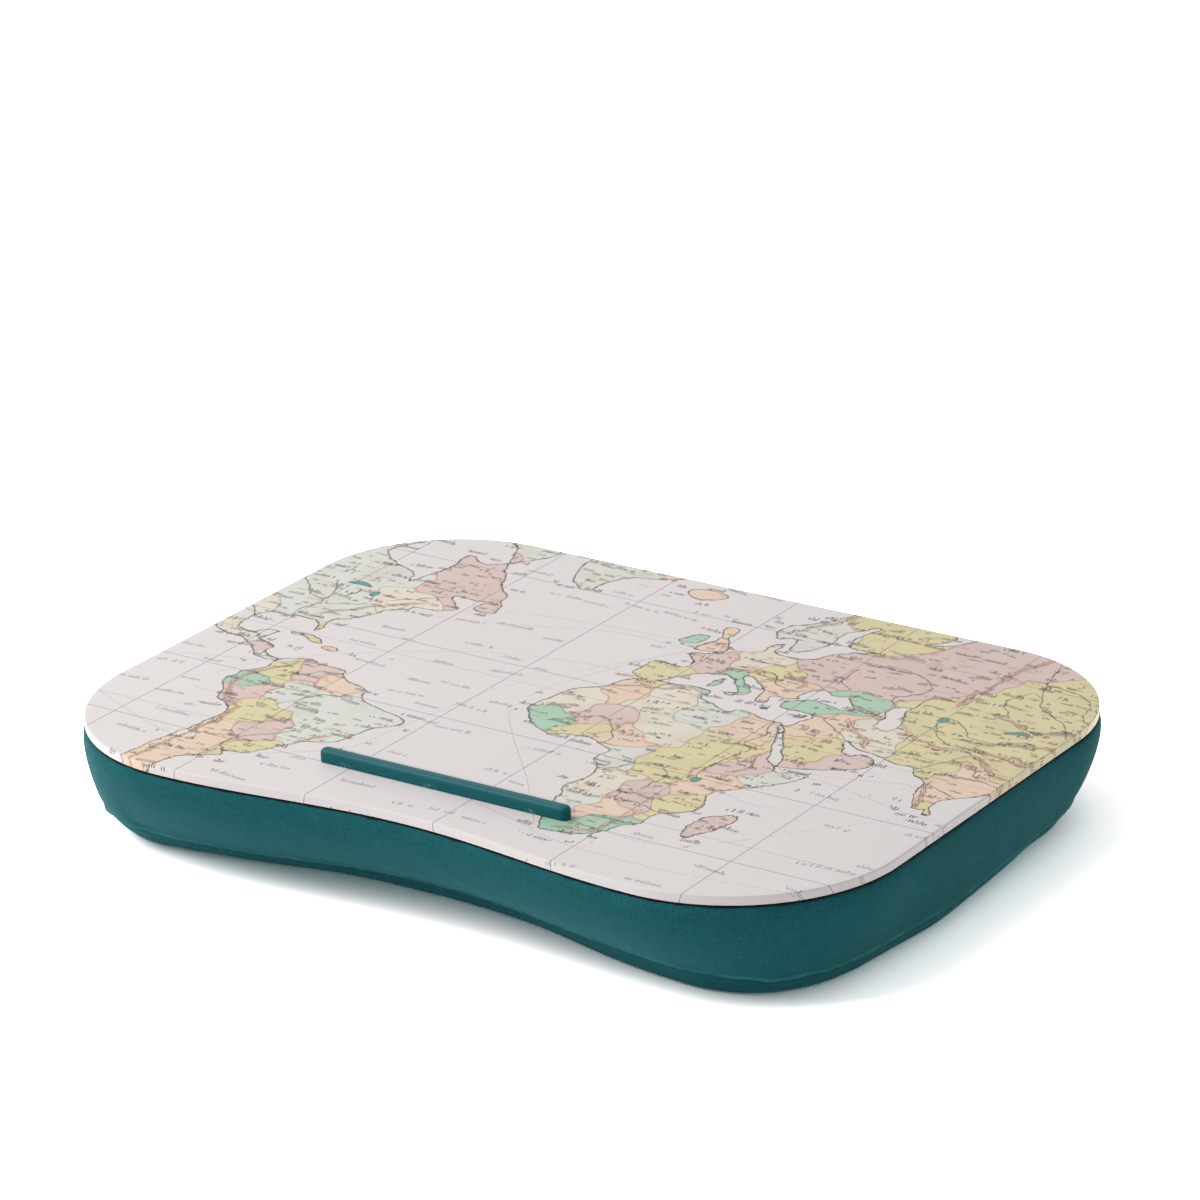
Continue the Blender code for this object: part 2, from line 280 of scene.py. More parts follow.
# %% Lamp
KEY_WATTS = 64.0
KEY_PLACE = Vector((-1.50, -0.95, 2.10))
KEY_SIZE = 2.2

light = bpy.data.lights.new("key lamp", "AREA")
light.energy = KEY_WATTS
light.size = KEY_SIZE
lamp = linked("key lamp", light)
lamp.location = KEY_PLACE
lamp.rotation_mode = "QUATERNION"
lamp.rotation_quaternion = (-KEY_PLACE).to_track_quat("-Z", "Y")
print("lamp", round(KEY_PLACE.length, 2), "m away")

# %% Floor
FLOOR_HALF = 9.0
FLOOR_DROP = 0.0002
FLOOR_SHADE = (0.70, 0.70, 0.70, 1.0)
FLOOR_GLOW = 0.20
FLOOR_DEEP = (2.48, 2.19, 2.16, 1.0)
FLOOR_SEEN = (4.15, 3.94, 3.90, 1.0)
DEEP_HALVES = (0.15, 0.10)
DEEP_TO = 0.026
BARE_FROM = 0.068

signs = ((-1, -1), (1, -1), (1, 1), (-1, 1))
corners = [(x * FLOOR_HALF, y * FLOOR_HALF, -FLOOR_DROP) for x, y in signs]
floor_mesh = bpy.data.meshes.new("floor")
floor_mesh.from_pydata(corners, [], [(0, 1, 2, 3)])
floor = linked("floor", floor_mesh)
paper = Look("floor paper", roughness=1.0, specular_ior_level=0.0)
paths = paper.node("ShaderNodeLightPath").socket.node
seen = Value(paper, paths.outputs["Is Camera Ray"])
seen = seen.most(Value(paper, paths.outputs["Is Glossy Ray"]))
seen = seen.most(Value(paper, paths.outputs["Is Transmission Ray"]))
plan = paper.axes(paper.place())
beyond = [(abs(axis) - half).most(0.0) for axis, half in zip(plan, DEEP_HALVES)]
from_tray = (beyond[0] * beyond[0] + beyond[1] * beyond[1]).math("SQRT")
lit = paper.mix(paper.ease(from_tray, DEEP_TO, BARE_FROM), FLOOR_DEEP, FLOOR_SEEN)
paper.colour(paper.mix(seen, FLOOR_SHADE, lit))
paper.put(paper.shader.inputs["Emission Color"], paper.mix(seen, WHITE, paint(0, 0, 0)))
paper.put(paper.shader.inputs["Emission Strength"], FLOOR_GLOW)
floor_mesh.materials.append(paper.material)
print("floor", 2 * FLOOR_HALF, "m wide")

# %% [markdown]
# ## The tray's outline
# Every piece follows one outline, so it is worked out once. The front edge
# is one wave of a cosine, hollow at the waist. The corners are quarter
# circles, larger at the front, and straight runs join them.

# %% Outline
foil_low, foil_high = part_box("print_foil")
HALF_LENGTH = (foil_high.x - foil_low.x) / 2
HALF_DEPTH = (foil_high.y - foil_low.y) / 2
FRONT_RADIUS = 0.086
BACK_RADIUS = 0.077
RECESS_DEPTH = 0.012
ROUND_COUNT = 720
PART_COUNT = 600


def fine_outline():
    """The outline's right half as dense points, from the front middle.

    Front: y = -half depth + recess * (1 + cos(pi * x / front_x)) / 2.
    Corners: centre + radius * (sin, -cos) and centre + radius * (cos, sin).
    """
    front_x = HALF_LENGTH - FRONT_RADIUS
    share = np.linspace(0.0, 1.0, PART_COUNT)
    wave = np.stack([
        front_x * share,
        RECESS_DEPTH * (1 + np.cos(np.pi * share)) / 2 - HALF_DEPTH,
    ], 1)
    angle = share * np.pi / 2
    front = np.stack([
        front_x + FRONT_RADIUS * np.sin(angle),
        FRONT_RADIUS * (1 - np.cos(angle)) - HALF_DEPTH,
    ], 1)
    back = np.stack([
        HALF_LENGTH - BACK_RADIUS * (1 - np.cos(angle)),
        HALF_DEPTH - BACK_RADIUS * (1 - np.sin(angle)),
    ], 1)
    end = np.array([[0.0, HALF_DEPTH]])
    return np.concatenate([wave, front[1:], back, end])


def even_outline(count):
    """Points spaced evenly round the outline, with their outward directions.

    The right half is mirrored to the left, run lengths are summed, and even
    run lengths are read back from them.
    """
    right = fine_outline()
    left = right[-2:0:-1] * [-1.0, 1.0]
    loop = np.concatenate([right, left, right[:1]])
    run = np.concatenate([[0.0], np.cumsum(np.hypot(*np.diff(loop, axis=0).T))])
    wanted = np.arange(count) * run[-1] / count
    points = np.stack([np.interp(wanted, run, loop[:, axis]) for axis in (0, 1)], 1)
    ahead = np.roll(points, -1, 0) - np.roll(points, 1, 0)
    ahead /= np.hypot(*ahead.T)[:, None]
    return points, np.stack([ahead[:, 1], -ahead[:, 0]], 1), wanted, run[-1]


rim, outward, rim_run, rim_length = even_outline(ROUND_COUNT)
print("outline", round(rim_length, 3), "m round, in", ROUND_COUNT, "points")

# %% [markdown]
# ## From rings to a mesh
# Every piece here is a stack of rings round the tray. Two neighbouring rings
# are joined by four-sided faces, and an end ring is closed by a fan round its
# middle.

# %% Rings into a mesh
SHARP_DEGREES = 40.0


def drawn_in(points, ways, inset, height):
    """A loop moved against its outward ways by inset, at a height.

    Both inset and height may differ round the loop.
    """
    flat = points - ways * np.broadcast_to(inset, len(points))[:, None]
    return np.column_stack([flat, np.broadcast_to(height, len(points))])


def ring(inset, height):
    """The tray's outline drawn in by inset, at a height."""
    return drawn_in(rim, outward, inset, height)


def shrunk(outer, shares):
    """Copies of a ring drawn in towards the z axis, each to a share of its size."""
    flat = outer * [1.0, 1.0, 0.0]
    level = outer * [0.0, 0.0, 1.0]
    return [share * flat + level for share in shares]


def ring_faces(count, size, closed):
    """Corner numbers of the faces between rings, row by row."""
    here = np.arange(size)
    after = np.roll(here, -1)
    rows = np.arange(count if closed else count - 1)
    low_row = (rows * size)[:, None]
    high_row = ((rows + 1) % count * size)[:, None]
    faces = [low_row + here, low_row + after, high_row + after, high_row + here]
    return np.stack(faces, -1).reshape(-1, 4)


def ringed_piece(name, rings, closed=False, sharp_degrees=SHARP_DEGREES):
    """A smooth piece from rings that run so that its faces look outwards.

    With closed, the last ring joins the first, as on a strip with a section
    that closes. Without it, both end rings are closed by a fan of triangles.
    """
    rings = np.array(rings)
    count, size = rings.shape[:2]
    points = rings.reshape(-1, 3)
    faces = ring_faces(count, size, closed).tolist()
    if not closed:
        tips = np.array([rings[0].mean(0), rings[-1].mean(0)])
        here = np.arange(size)
        after = np.roll(here, -1)
        first = np.stack([after, here, np.full(size, len(points))], 1)
        base = (count - 1) * size
        last = np.stack([base + here, base + after, np.full(size, len(points) + 1)], 1)
        points = np.concatenate([points, tips])
        faces += first.tolist() + last.tolist()
    mesh = bpy.data.meshes.new(name)
    mesh.from_pydata(points.tolist(), [], faces)
    mesh.shade_smooth()
    mesh.set_sharp_from_angle(angle=math.radians(sharp_degrees))
    return linked(name, mesh)


def flat_piece(name, inset, low, high, shares):
    """A flat sheet within the outline between two heights, with inner rings."""
    under = ring(inset, low)
    over = ring(inset, high)
    return ringed_piece(name, shrunk(under, shares) + [under, over] + shrunk(over, shares[::-1]))


# %% [markdown]
# ## The printed film
# The real board is pressed wood fibre under a thin printed film that wraps
# its top and its edge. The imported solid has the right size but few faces, so
# the film gets a finer surface. It starts at the middle of the top, runs out
# to a small rounded edge, goes down the side and returns on the inside.

# %% Film surface
FILM_TOP = foil_high.z
FILM_BOTTOM = foil_low.z
CORE_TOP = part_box("board_core")[1].z
FILM_THICKNESS = 0.0004
FILM_EDGE = 0.0006
SMALL_EDGE = 0.0002
TOP_RINGS = 90
INSIDE_RINGS = 13
EDGE_STEPS = 7


def film_rings():
    """Rings of the film from the middle of its top, over its edge and back."""
    flat_edge = ring(FILM_EDGE, FILM_TOP)
    rings = shrunk(flat_edge, np.arange(1, TOP_RINGS) / TOP_RINGS)
    for angle in np.linspace(0.0, np.pi / 2, EDGE_STEPS):
        inset = FILM_EDGE * (1 - math.sin(angle))
        rings.append(ring(inset, FILM_TOP - FILM_EDGE * (1 - math.cos(angle))))
    rings.append(ring(0.0, (FILM_TOP + FILM_BOTTOM) / 2))
    rings.append(ring(0.0, FILM_BOTTOM + SMALL_EDGE))
    rings.append(ring(SMALL_EDGE, FILM_BOTTOM))
    rings.append(ring(FILM_THICKNESS, FILM_BOTTOM))
    rings.append(ring(FILM_THICKNESS, FILM_TOP - FILM_THICKNESS))
    rings += shrunk(rings[-1], np.linspace(1.0, 0.0, INSIDE_RINGS + 1)[1:-1])
    return rings


film = ringed_piece("printed_film", film_rings()[::-1])
print("film", len(film.data.vertices), "points")

# %% [markdown]
# Three screws come up through the board and the film into the bar. A hole is
# cut with a round tool and a Boolean, here in the film and later in the bar.

# %% Screw holes
HOLE_RADIUS = 0.0016
HOLE_SIDES = 24
OVERRUN = 0.002
UNDERCUT = 0.0002
SCREWS = ("stop_screw_left", "stop_screw_middle", "stop_screw_right")


def bored(piece, lowest, highest):
    """Bore a piece for the three screws between two heights."""
    angle = np.arange(HOLE_SIDES) * 2 * np.pi / HOLE_SIDES
    circle = np.column_stack([np.cos(angle), np.sin(angle)]) * HOLE_RADIUS
    for screw in SCREWS:
        low_corner, high_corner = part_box(screw)
        middle = (low_corner + high_corner) / 2
        hole = circle + [middle.x, middle.y]
        levels = (np.full(HOLE_SIDES, level) for level in (lowest, highest))
        tool = ringed_piece("drill", [np.column_stack([hole, level]) for level in levels])
        change = piece.modifiers.new("bore", "BOOLEAN")
        change.operation = "DIFFERENCE"
        change.solver = "EXACT"
        change.object = tool
        with bpy.context.temp_override(object=piece, active_object=piece):
            bpy.ops.object.modifier_apply(modifier=change.name)
        bpy.data.objects.remove(tool, do_unlink=True)
    piece.data.set_sharp_from_angle(angle=math.radians(SHARP_DEGREES))


bored(film, CORE_TOP - UNDERCUT, FILM_TOP + OVERRUN)
print("bored film", len(film.data.vertices), "points")

# %% [markdown]
# ## A chart on the film
# The print is an old world chart: pale seas, land tinted country by country
# with stronger colour along its borders, and thin dark lines. No picture is
# used. Coasts, rivers and ridges are short lists of longitude and latitude,
# and the mesh carries how far each of its points lies from them. The shader
# then draws a line wherever such a distance is near zero, so a line stays
# thin and sharp between the mesh's points.

# %% Coasts, in degrees of longitude and latitude
SOUTH_AMERICA = (
    (-77.5, 8.6), (-75.5, 10.6), (-72.0, 12.2), (-68.2, 11.0), (-61.9, 10.6), (-60.6, 8.5),
    (-57.2, 6.0), (-51.8, 4.4), (-50.0, 0.5), (-44.6, -2.6), (-38.5, -3.8), (-35.2, -5.3),
    (-35.0, -8.6), (-38.7, -13.0), (-39.4, -18.0), (-41.0, -22.0), (-46.0, -24.0), (-48.7, -27.5),
    (-53.2, -33.6), (-58.2, -34.4), (-57.0, -36.4), (-61.8, -38.9), (-64.8, -41.0), (-65.5, -44.0),
    (-67.5, -47.0), (-69.0, -52.0), (-74.8, -52.0), (-75.0, -47.0), (-73.6, -41.0), (-73.2, -37.0),
    (-71.6, -31.0), (-70.4, -24.0), (-70.3, -18.2), (-75.8, -14.6), (-78.2, -10.0), (-81.2, -6.0),
    (-80.2, -3.0), (-80.6, -0.5), (-78.6, 1.8), (-77.3, 4.5), (-77.8, 7.2),
)
NORTH_AMERICA = (
    (-77.5, 8.6), (-79.8, 7.6), (-83.5, 8.6), (-86.0, 11.0), (-88.5, 13.2), (-93.5, 15.4),
    (-98.5, 16.2), (-105.0, 20.0), (-118.0, 33.0), (-130.0, 60.0), (-110.0, 76.0), (-76.0, 76.0),
    (-62.0, 68.0), (-64.5, 64.0), (-71.5, 61.0), (-77.8, 62.4), (-77.2, 58.0), (-79.2, 54.0),
    (-80.5, 51.4), (-82.6, 54.6), (-92.4, 57.2), (-94.6, 60.4), (-86.0, 66.0), (-73.0, 67.0),
    (-66.0, 60.6), (-64.2, 60.0), (-61.6, 56.6), (-56.0, 52.6), (-60.0, 50.2), (-66.4, 50.2),
    (-65.0, 48.4), (-61.2, 45.8), (-66.0, 43.8), (-70.2, 43.4), (-70.4, 41.6), (-74.2, 40.2),
    (-76.0, 36.6), (-78.4, 33.8), (-81.4, 31.2), (-80.2, 26.8), (-81.2, 25.2), (-83.0, 29.4),
    (-89.2, 30.0), (-90.4, 29.0), (-96.0, 28.8), (-97.6, 24.0), (-96.4, 19.4), (-91.6, 18.6),
    (-90.2, 21.0), (-87.0, 21.4), (-88.4, 16.4), (-83.4, 14.8), (-83.2, 10.8), (-80.2, 9.4),
)
AFRICA = (
    (-5.6, 35.8), (1.5, 36.6), (10.4, 37.2), (10.8, 33.8), (15.6, 32.2), (19.6, 30.4),
    (22.0, 32.8), (29.0, 30.9), (32.6, 31.2), (32.9, 29.0), (35.6, 24.0), (37.4, 20.2),
    (39.6, 15.4), (43.2, 12.0), (44.8, 10.5), (51.2, 11.8), (48.2, 4.8), (42.0, -1.4),
    (39.2, -5.2), (40.6, -11.0), (40.4, -15.0), (35.0, -19.8), (35.4, -23.6), (32.8, -26.4),
    (30.6, -30.8), (26.2, -33.8), (20.2, -34.7), (18.0, -32.8), (15.2, -27.0), (13.6, -21.0),
    (11.9, -16.6), (13.6, -11.2), (12.2, -6.0), (9.2, -1.6), (9.6, 3.2), (6.6, 4.4),
    (2.8, 6.3), (-3.6, 5.0), (-7.8, 4.5), (-12.8, 8.0), (-16.6, 12.4), (-17.3, 15.0),
    (-16.2, 20.0), (-14.6, 26.0), (-10.0, 29.6), (-8.8, 33.0),
)
OLD_WORLD = (
    (-9.2, 38.6), (-8.6, 37.0), (-5.6, 36.1), (-1.6, 37.0), (0.2, 39.4), (3.2, 42.4),
    (7.6, 43.8), (10.4, 43.4), (15.2, 40.0), (16.2, 38.0), (17.8, 40.0), (13.2, 43.6),
    (12.6, 45.2), (14.8, 45.0), (19.4, 41.8), (21.4, 37.2), (23.6, 38.0), (23.0, 40.2),
    (26.4, 40.6), (28.6, 41.4), (27.9, 43.0), (30.6, 46.2), (34.0, 45.2), (36.0, 45.4),
    (38.6, 47.0), (37.4, 45.0), (41.4, 42.2), (38.0, 40.9), (33.0, 41.9), (29.2, 40.9),
    (26.8, 39.0), (28.4, 36.8), (35.8, 36.5), (34.2, 31.2), (32.6, 30.2), (34.8, 28.4),
    (39.0, 21.4), (42.8, 15.4), (43.8, 12.8), (52.2, 15.8), (57.6, 19.2), (59.6, 22.4),
    (56.4, 25.8), (51.6, 24.2), (48.2, 29.8), (51.4, 28.0), (57.2, 26.8), (61.6, 25.2),
    (66.8, 25.2), (69.2, 22.4), (72.6, 21.0), (73.2, 17.0), (74.8, 13.0), (77.4, 8.2),
    (79.8, 10.6), (80.2, 14.4), (84.2, 18.6), (88.0, 21.6), (96.0, 20.0), (110.0, 40.0),
    (110.0, 76.0), (44.0, 76.0), (44.0, 67.0), (36.0, 64.4), (40.0, 66.8), (30.0, 71.0),
    (18.0, 70.0), (11.6, 64.8), (5.4, 61.8), (6.8, 58.2), (10.8, 59.2), (12.8, 55.8),
    (16.4, 56.8), (18.6, 60.0), (18.0, 62.8), (23.4, 65.8), (21.6, 62.4), (23.6, 60.0),
    (29.6, 60.0), (24.0, 58.4), (21.0, 56.4), (19.0, 54.4), (11.0, 54.2), (10.4, 57.4),
    (8.4, 56.2), (8.2, 53.8), (4.0, 52.4), (1.6, 50.6), (-1.4, 49.6), (-4.6, 48.4),
    (-1.4, 46.0), (-1.8, 43.5), (-8.6, 43.6),
)
ISLANDS = (
    ((49.2, -12.2), (50.3, -15.6), (47.2, -24.8), (44.4, -24.2), (44.2, -17.0)),
    (
        (-5.2, 50.2), (1.2, 51.2), (1.2, 52.8), (-1.6, 55.4),
        (-2.6, 58.4), (-5.6, 58.0), (-3.4, 54.8), (-4.6, 52.6),
    ),
    ((-6.4, 52.2), (-10.0, 51.8), (-9.4, 54.2), (-6.0, 55.0)),
    ((-24.0, 65.4), (-20.0, 66.2), (-14.4, 65.2), (-19.0, 63.5), (-22.8, 64.2)),
    ((-84.6, 22.2), (-80.4, 23.2), (-74.4, 20.3), (-77.6, 20.0), (-81.0, 22.0)),
    ((-74.2, 18.6), (-72.6, 19.9), (-68.6, 18.6), (-71.2, 17.9)),
    ((-59.0, 47.8), (-56.0, 51.4), (-52.8, 47.2), (-56.0, 46.9)),
    (
        (-60.0, 76.0), (-54.0, 68.4), (-50.4, 62.6), (-43.6, 59.8),
        (-40.6, 64.6), (-26.0, 68.2), (-20.0, 76.0),
    ),
    ((79.9, 9.6), (81.8, 7.4), (80.5, 5.9), (79.8, 7.4)),
    ((12.6, 38.1), (15.4, 38.2), (15.0, 36.8)),
    ((8.4, 39.0), (8.4, 41.0), (9.6, 42.8), (9.6, 39.4)),
    ((23.6, 35.2), (26.2, 35.3), (25.0, 34.8)),
    ((32.4, 34.8), (34.4, 35.6), (33.4, 34.6)),
)
INLAND_SEA = (
    (47.6, 45.0), (51.6, 46.9), (51.2, 44.4), (53.6, 41.0), (53.6, 37.0), (49.4, 37.6), (49.0, 41.0),
)
LAKES = (
    ((58.8, 44.4), (59.4, 46.2), (61.0, 45.6), (60.4, 44.2)),
    ((74.0, 45.4), (76.4, 46.6), (78.8, 46.6), (79.0, 46.0), (76.2, 45.6), (74.2, 44.9)),
    ((32.0, -0.4), (33.8, 0.1), (33.2, -2.4), (32.0, -2.0)),
    ((-92.0, 46.8), (-88.4, 48.2), (-85.0, 46.8), (-88.0, 46.9)),
    ((-87.2, 42.2), (-86.8, 45.4), (-85.9, 45.2), (-86.4, 42.2)),
    ((-82.8, 43.8), (-83.2, 45.4), (-81.2, 45.4), (-82.0, 43.8)),
    ((-83.0, 41.8), (-79.2, 42.8), (-76.4, 43.9), (-79.4, 43.1)),
    ((14.0, 13.0), (14.6, 14.0), (15.4, 13.2)),
)

# %% Tints, rivers, ridges and sea routes
SAGE, CREAM, YELLOW, PEACH, MINT, PINK = range(6)
SEEDS = (
    (-70, 53, PINK), (-84, 52, SAGE), (-97, 57, SAGE), (-76, 45, CREAM), (-88, 43, SAGE),
    (-82, 37, SAGE), (-90, 33, SAGE), (-99, 40, SAGE), (-102, 31, CREAM), (-103, 25, SAGE),
    (-97, 18, CREAM), (-90, 17, SAGE), (-86, 13, PINK), (-81, 9, SAGE), (-79, 22, YELLOW),
    (-71, 19, PEACH), (-45, 64, SAGE), (-56, 49, PINK), (-74, 4, YELLOW), (-66, 7, PINK),
    (-58, 5, PEACH), (-79, -2, MINT), (-75, -10, PINK), (-65, -17, YELLOW), (-62, -5, SAGE),
    (-50, -5, SAGE), (-42, -10, SAGE), (-50, -20, SAGE), (-58, -23, PINK), (-56, -33, YELLOW),
    (-72, -29, CREAM), (-65, -29, PEACH), (-67, -38, PEACH), (-68, -47, PEACH), (-5, 31, PEACH),
    (4, 29, CREAM), (17, 28, SAGE), (29, 27, PEACH), (-11, 22, CREAM), (-1, 17, PINK), (13, 18, CREAM),
    (29, 14, YELLOW), (40, 9, PINK), (46, 6, SAGE), (-10, 9, MINT), (-1, 9, YELLOW), (8, 9, PEACH),
    (12, 2, SAGE), (23, 1, YELLOW), (37, -2, PEACH), (18, -12, CREAM), (27, -13, PINK),
    (37, -14, YELLOW), (17, -23, SAGE), (24, -24, PEACH), (24, -33, MINT), (29, -28, MINT),
    (47, -19, PINK), (-4, 40, YELLOW), (2, 47, PINK), (-2, 53, PEACH), (-8, 53, MINT), (10, 51, CREAM),
    (12, 43, MINT), (18, 48, YELLOW), (22, 43, PEACH), (24, 52, PINK), (14, 61, SAGE), (27, 64, YELLOW),
    (-19, 65, PEACH), (37, 56, PINK), (54, 60, PINK), (33, 39, MINT), (38, 33, PEACH), (45, 23, YELLOW),
    (54, 18, PINK), (53, 33, CREAM), (63, 41, YELLOW), (67, 50, YELLOW), (65, 33, YELLOW),
    (68, 27, YELLOW), (78, 17, PEACH), (79, 25, PEACH), (81, 7, YELLOW), (82, 50, YELLOW),
    (82, 40, YELLOW), (83, 33, YELLOW), (68, 66, PINK), (84, 66, PINK), (74, 60, YELLOW),
)
RIVERS = (
    ((-75, -5), (-70, -3.8), (-64, -3.4), (-58, -2.6), (-51, -0.8)),
    ((-50, -19), (-54, -24), (-58.4, -27.4), (-60.4, -31.6), (-58.6, -34.2)),
    ((-63, -11), (-60, -6), (-58, -2.6)), ((-72, 2), (-67, 5.4), (-66, 7.8), (-61, 8.6)),
    ((-94, 46.6), (-91, 42.8), (-89.6, 38.4), (-90.6, 34), (-91.2, 31), (-89.8, 29.2)),
    ((-104, 47), (-98, 43), (-95, 40), (-90, 38.8)), ((-80, 40.6), (-85, 38.6), (-89, 37)),
    ((-76.4, 44.2), (-72, 46.6), (-68, 49.2)), ((-106, 33), (-101, 29.6), (-97.4, 26)),
    ((32.2, 0.2), (31.4, 5), (32.8, 12), (33.8, 17.6), (31, 19.4), (32.8, 24.4), (31.2, 28), (31, 31)),
    ((-10, 10), (-5.4, 14), (-0.6, 17), (4, 12.4), (6.6, 8), (6.2, 4.6)),
    ((26, -10), (26.6, -3), (22.6, 2), (17.6, -0.6), (15.8, -4), (12.6, -6)),
    ((23, -13), (24.6, -17.6), (29, -16.4), (35.4, -18.4)), ((28.6, -30), (22, -29), (16.6, -28.6)),
    ((36.8, 11.6), (35, 11), (33, 15.4)), ((9, 48), (17, 48), (20, 44.8), (25, 43.8), (29, 45.2)),
    ((33, 57), (40, 57.4), (47.6, 55.4), (49.6, 52.4), (45.4, 48.6), (48, 46)),
    ((31, 54.6), (31, 50.4), (35, 48), (32.6, 46.6)), ((59, 54), (56, 51.4), (51.8, 51), (51.8, 47)),
    ((40, 39), (38.6, 36), (42, 34), (46, 31.6), (48, 30)),
    ((82, 31.6), (74, 34.6), (71, 30), (67.8, 24.8)), ((78, 30.6), (80.6, 26.6), (85, 25.4), (90, 23)),
    ((75, 41), (69, 41.2), (66, 44), (61.4, 46)), ((72, 37), (65, 37.8), (60.4, 42.4), (59.6, 43.8)),
    ((73, 19.8), (77.4, 18.6), (81.8, 16.6)),
    ((86, 48), (82.6, 51.6), (77, 54), (73.6, 55.4), (71, 58.4), (69, 61), (66.6, 66)),
    ((90, 52), (84, 54.6), (82, 58.6), (76, 60.8), (69, 61)), ((70, 51), (66, 55), (68.6, 58.2)),
)
RIDGES = (
    (
        (-73, 9), (-77, 1), (-78.6, -4), (-76, -11), (-70.6, -16), (-68.6, -22),
        (-70, -30), (-71, -38), (-72, -47),
    ),
    ((-85, 33.6), (-80.6, 37.8), (-76, 41.4), (-71, 44.6)), ((-8, 31), (-2, 33.4), (6, 35.4)),
    ((6.6, 44.4), (8.4, 46.2), (14, 47)), ((20, 49), (25, 47), (25, 45.6)),
    ((39, 44), (44, 42.8), (48.6, 41)), ((44, 37.4), (48.4, 33.6), (53, 29.4)),
    ((66, 34.6), (71, 36.4), (76, 34.2), (80.6, 30.8), (85.6, 28.6), (94, 28)),
    ((74, 37.6), (79, 36.2), (86, 36.4), (94, 37)), ((68, 40), (74, 40.6), (80, 42.6), (88, 43.6)),
    ((69, 49.8), (74, 48.6), (80, 48), (86, 49.4), (94, 50)),
    ((58.6, 51), (59.6, 57), (60.4, 63), (66, 68)), ((37.6, 15), (38.6, 10), (36.8, 6.6)),
    ((22.6, -32.6), (27.6, -31.4), (30, -28.6), (30.8, -25)), ((56, 37.2), (61, 36.4), (66, 34.6)),
    ((-44, -20), (-47, -23.6)), ((73.8, 20), (75.4, 14.6), (77, 10)), ((8, 61), (13, 64.6), (17, 68)),
)
ROUTES = (
    ((-5.8, 35.9), (-18, 37), (-40, 33), (-62, 22), (-77, 10)),
    ((-5.4, 49.4), (-24, 50), (-50, 44), (-73.6, 40.4)),
    ((-6, 48.6), (-11, 42), (-19, 26), (-20, 12), (-12, 0), (4, -18), (17.4, -33.6)),
    ((-7, 47), (-26, 24), (-32, 2), (-34, -10), (-38, -24), (-56, -35.4)),
    ((18.4, -35.2), (-4, -30), (-36, -23.4)), ((18.6, -36), (32, -38), (56, -38), (90, -34)),
    ((44.4, 12.2), (56, 13.6), (72.4, 18.6)), ((44.6, 11.8), (60, 10), (79.4, 5.4), (94, 6)),
    ((31.4, -30.4), (46, -30), (57.4, -20.4), (70, -6), (79.6, 4.8)), ((-80, 7), (-96, 2), (-112, -4)),
    ((-80, 6.6), (-84, -2), (-84, -12), (-77.8, -12)), ((-72.4, -33), (-84, -30), (-112, -18)),
    ((-63, 44.4), (-44, 50), (-10.4, 52)), ((41, -4), (55, -4.6), (72.4, 17.8)),
)

# %% [markdown]
# The chart is drawn to the same rule as the real one: a straight grid, with
# the parallels further apart towards the pole. Thirty degrees of longitude
# are about 70 mm on the board.

# %% From degrees to the board
ZERO_X_MM = 17.7
ZERO_Y_MM = -48.8
DEGREES_30_MM = 69.6
RADIUS_MM = DEGREES_30_MM * 6 / math.pi
LONG_SWAY_MM = 2.6
SHORT_SWAY_MM = 1.5


def on_board(places):
    """Longitude and latitude to millimetres on the board.

    x = zero x + radius * longitude, in radians.
    y = zero y + radius * ln(tan(45 degrees + latitude / 2)).
    """
    degrees = np.array(places, float)
    x = ZERO_X_MM + RADIUS_MM * np.radians(degrees[:, 0])
    y = ZERO_Y_MM + RADIUS_MM * np.log(np.tan(np.pi / 4 + np.radians(degrees[:, 1]) / 2))
    return np.column_stack([x, y])


def eased(points, closed, steps=4):
    """A smooth curve through points, by Catmull and Rom's cubic between each pair.

    Between b and c, with a before and d after them, t goes from 0 to 1:
    b + t (c - a) / 2 + t^2 (a - 2.5 b + 2 c - d / 2) + t^3 (1.5 (b - c) + (d - a) / 2).
    """
    if closed:
        padded = np.concatenate([points[-1:], points, points[:2]])
    else:
        padded = np.concatenate([points[:1], points, points[-1:]])
    a, b, c, d = padded[:-3], padded[1:-2], padded[2:-1], padded[3:]
    t = (np.arange(steps) / steps)[None, :, None]
    a, b, c, d = (part[:, None] for part in (a, b, c, d))
    square = a - 2.5 * b + 2 * c - d / 2
    cube = 1.5 * (b - c) + (d - a) / 2
    curve = (b + t * (c - a) / 2 + t ** 2 * square + t ** 3 * cube).reshape(-1, 2)
    return curve if closed else np.concatenate([curve, points[-1:]])


def nearest(where, starts, ends):
    """Each point's distance to the nearest of many segments.

    Returns the plain distance, the distance with a sign for the side that
    the point lies on, and how far along that segment the nearest point is.
    """
    best = np.full(len(where), np.inf)
    side_of = np.ones(len(where))
    along = np.zeros(len(where))
    run = 0.0
    for start, end in zip(starts, ends):
        way = end - start
        length = math.hypot(*way)
        offset = where - start
        share = np.clip(offset @ way / length ** 2, 0.0, 1.0)
        gap = np.hypot(*(offset - share[:, None] * way).T)
        nearer = gap < best
        best = np.where(nearer, gap, best)
        cross = way[0] * offset[:, 1] - way[1] * offset[:, 0]
        side_of = np.where(nearer, np.where(cross >= 0, 1.0, -1.0), side_of)
        along = np.where(nearer, run + share * length, along)
        run += length
    return best, best * side_of, along


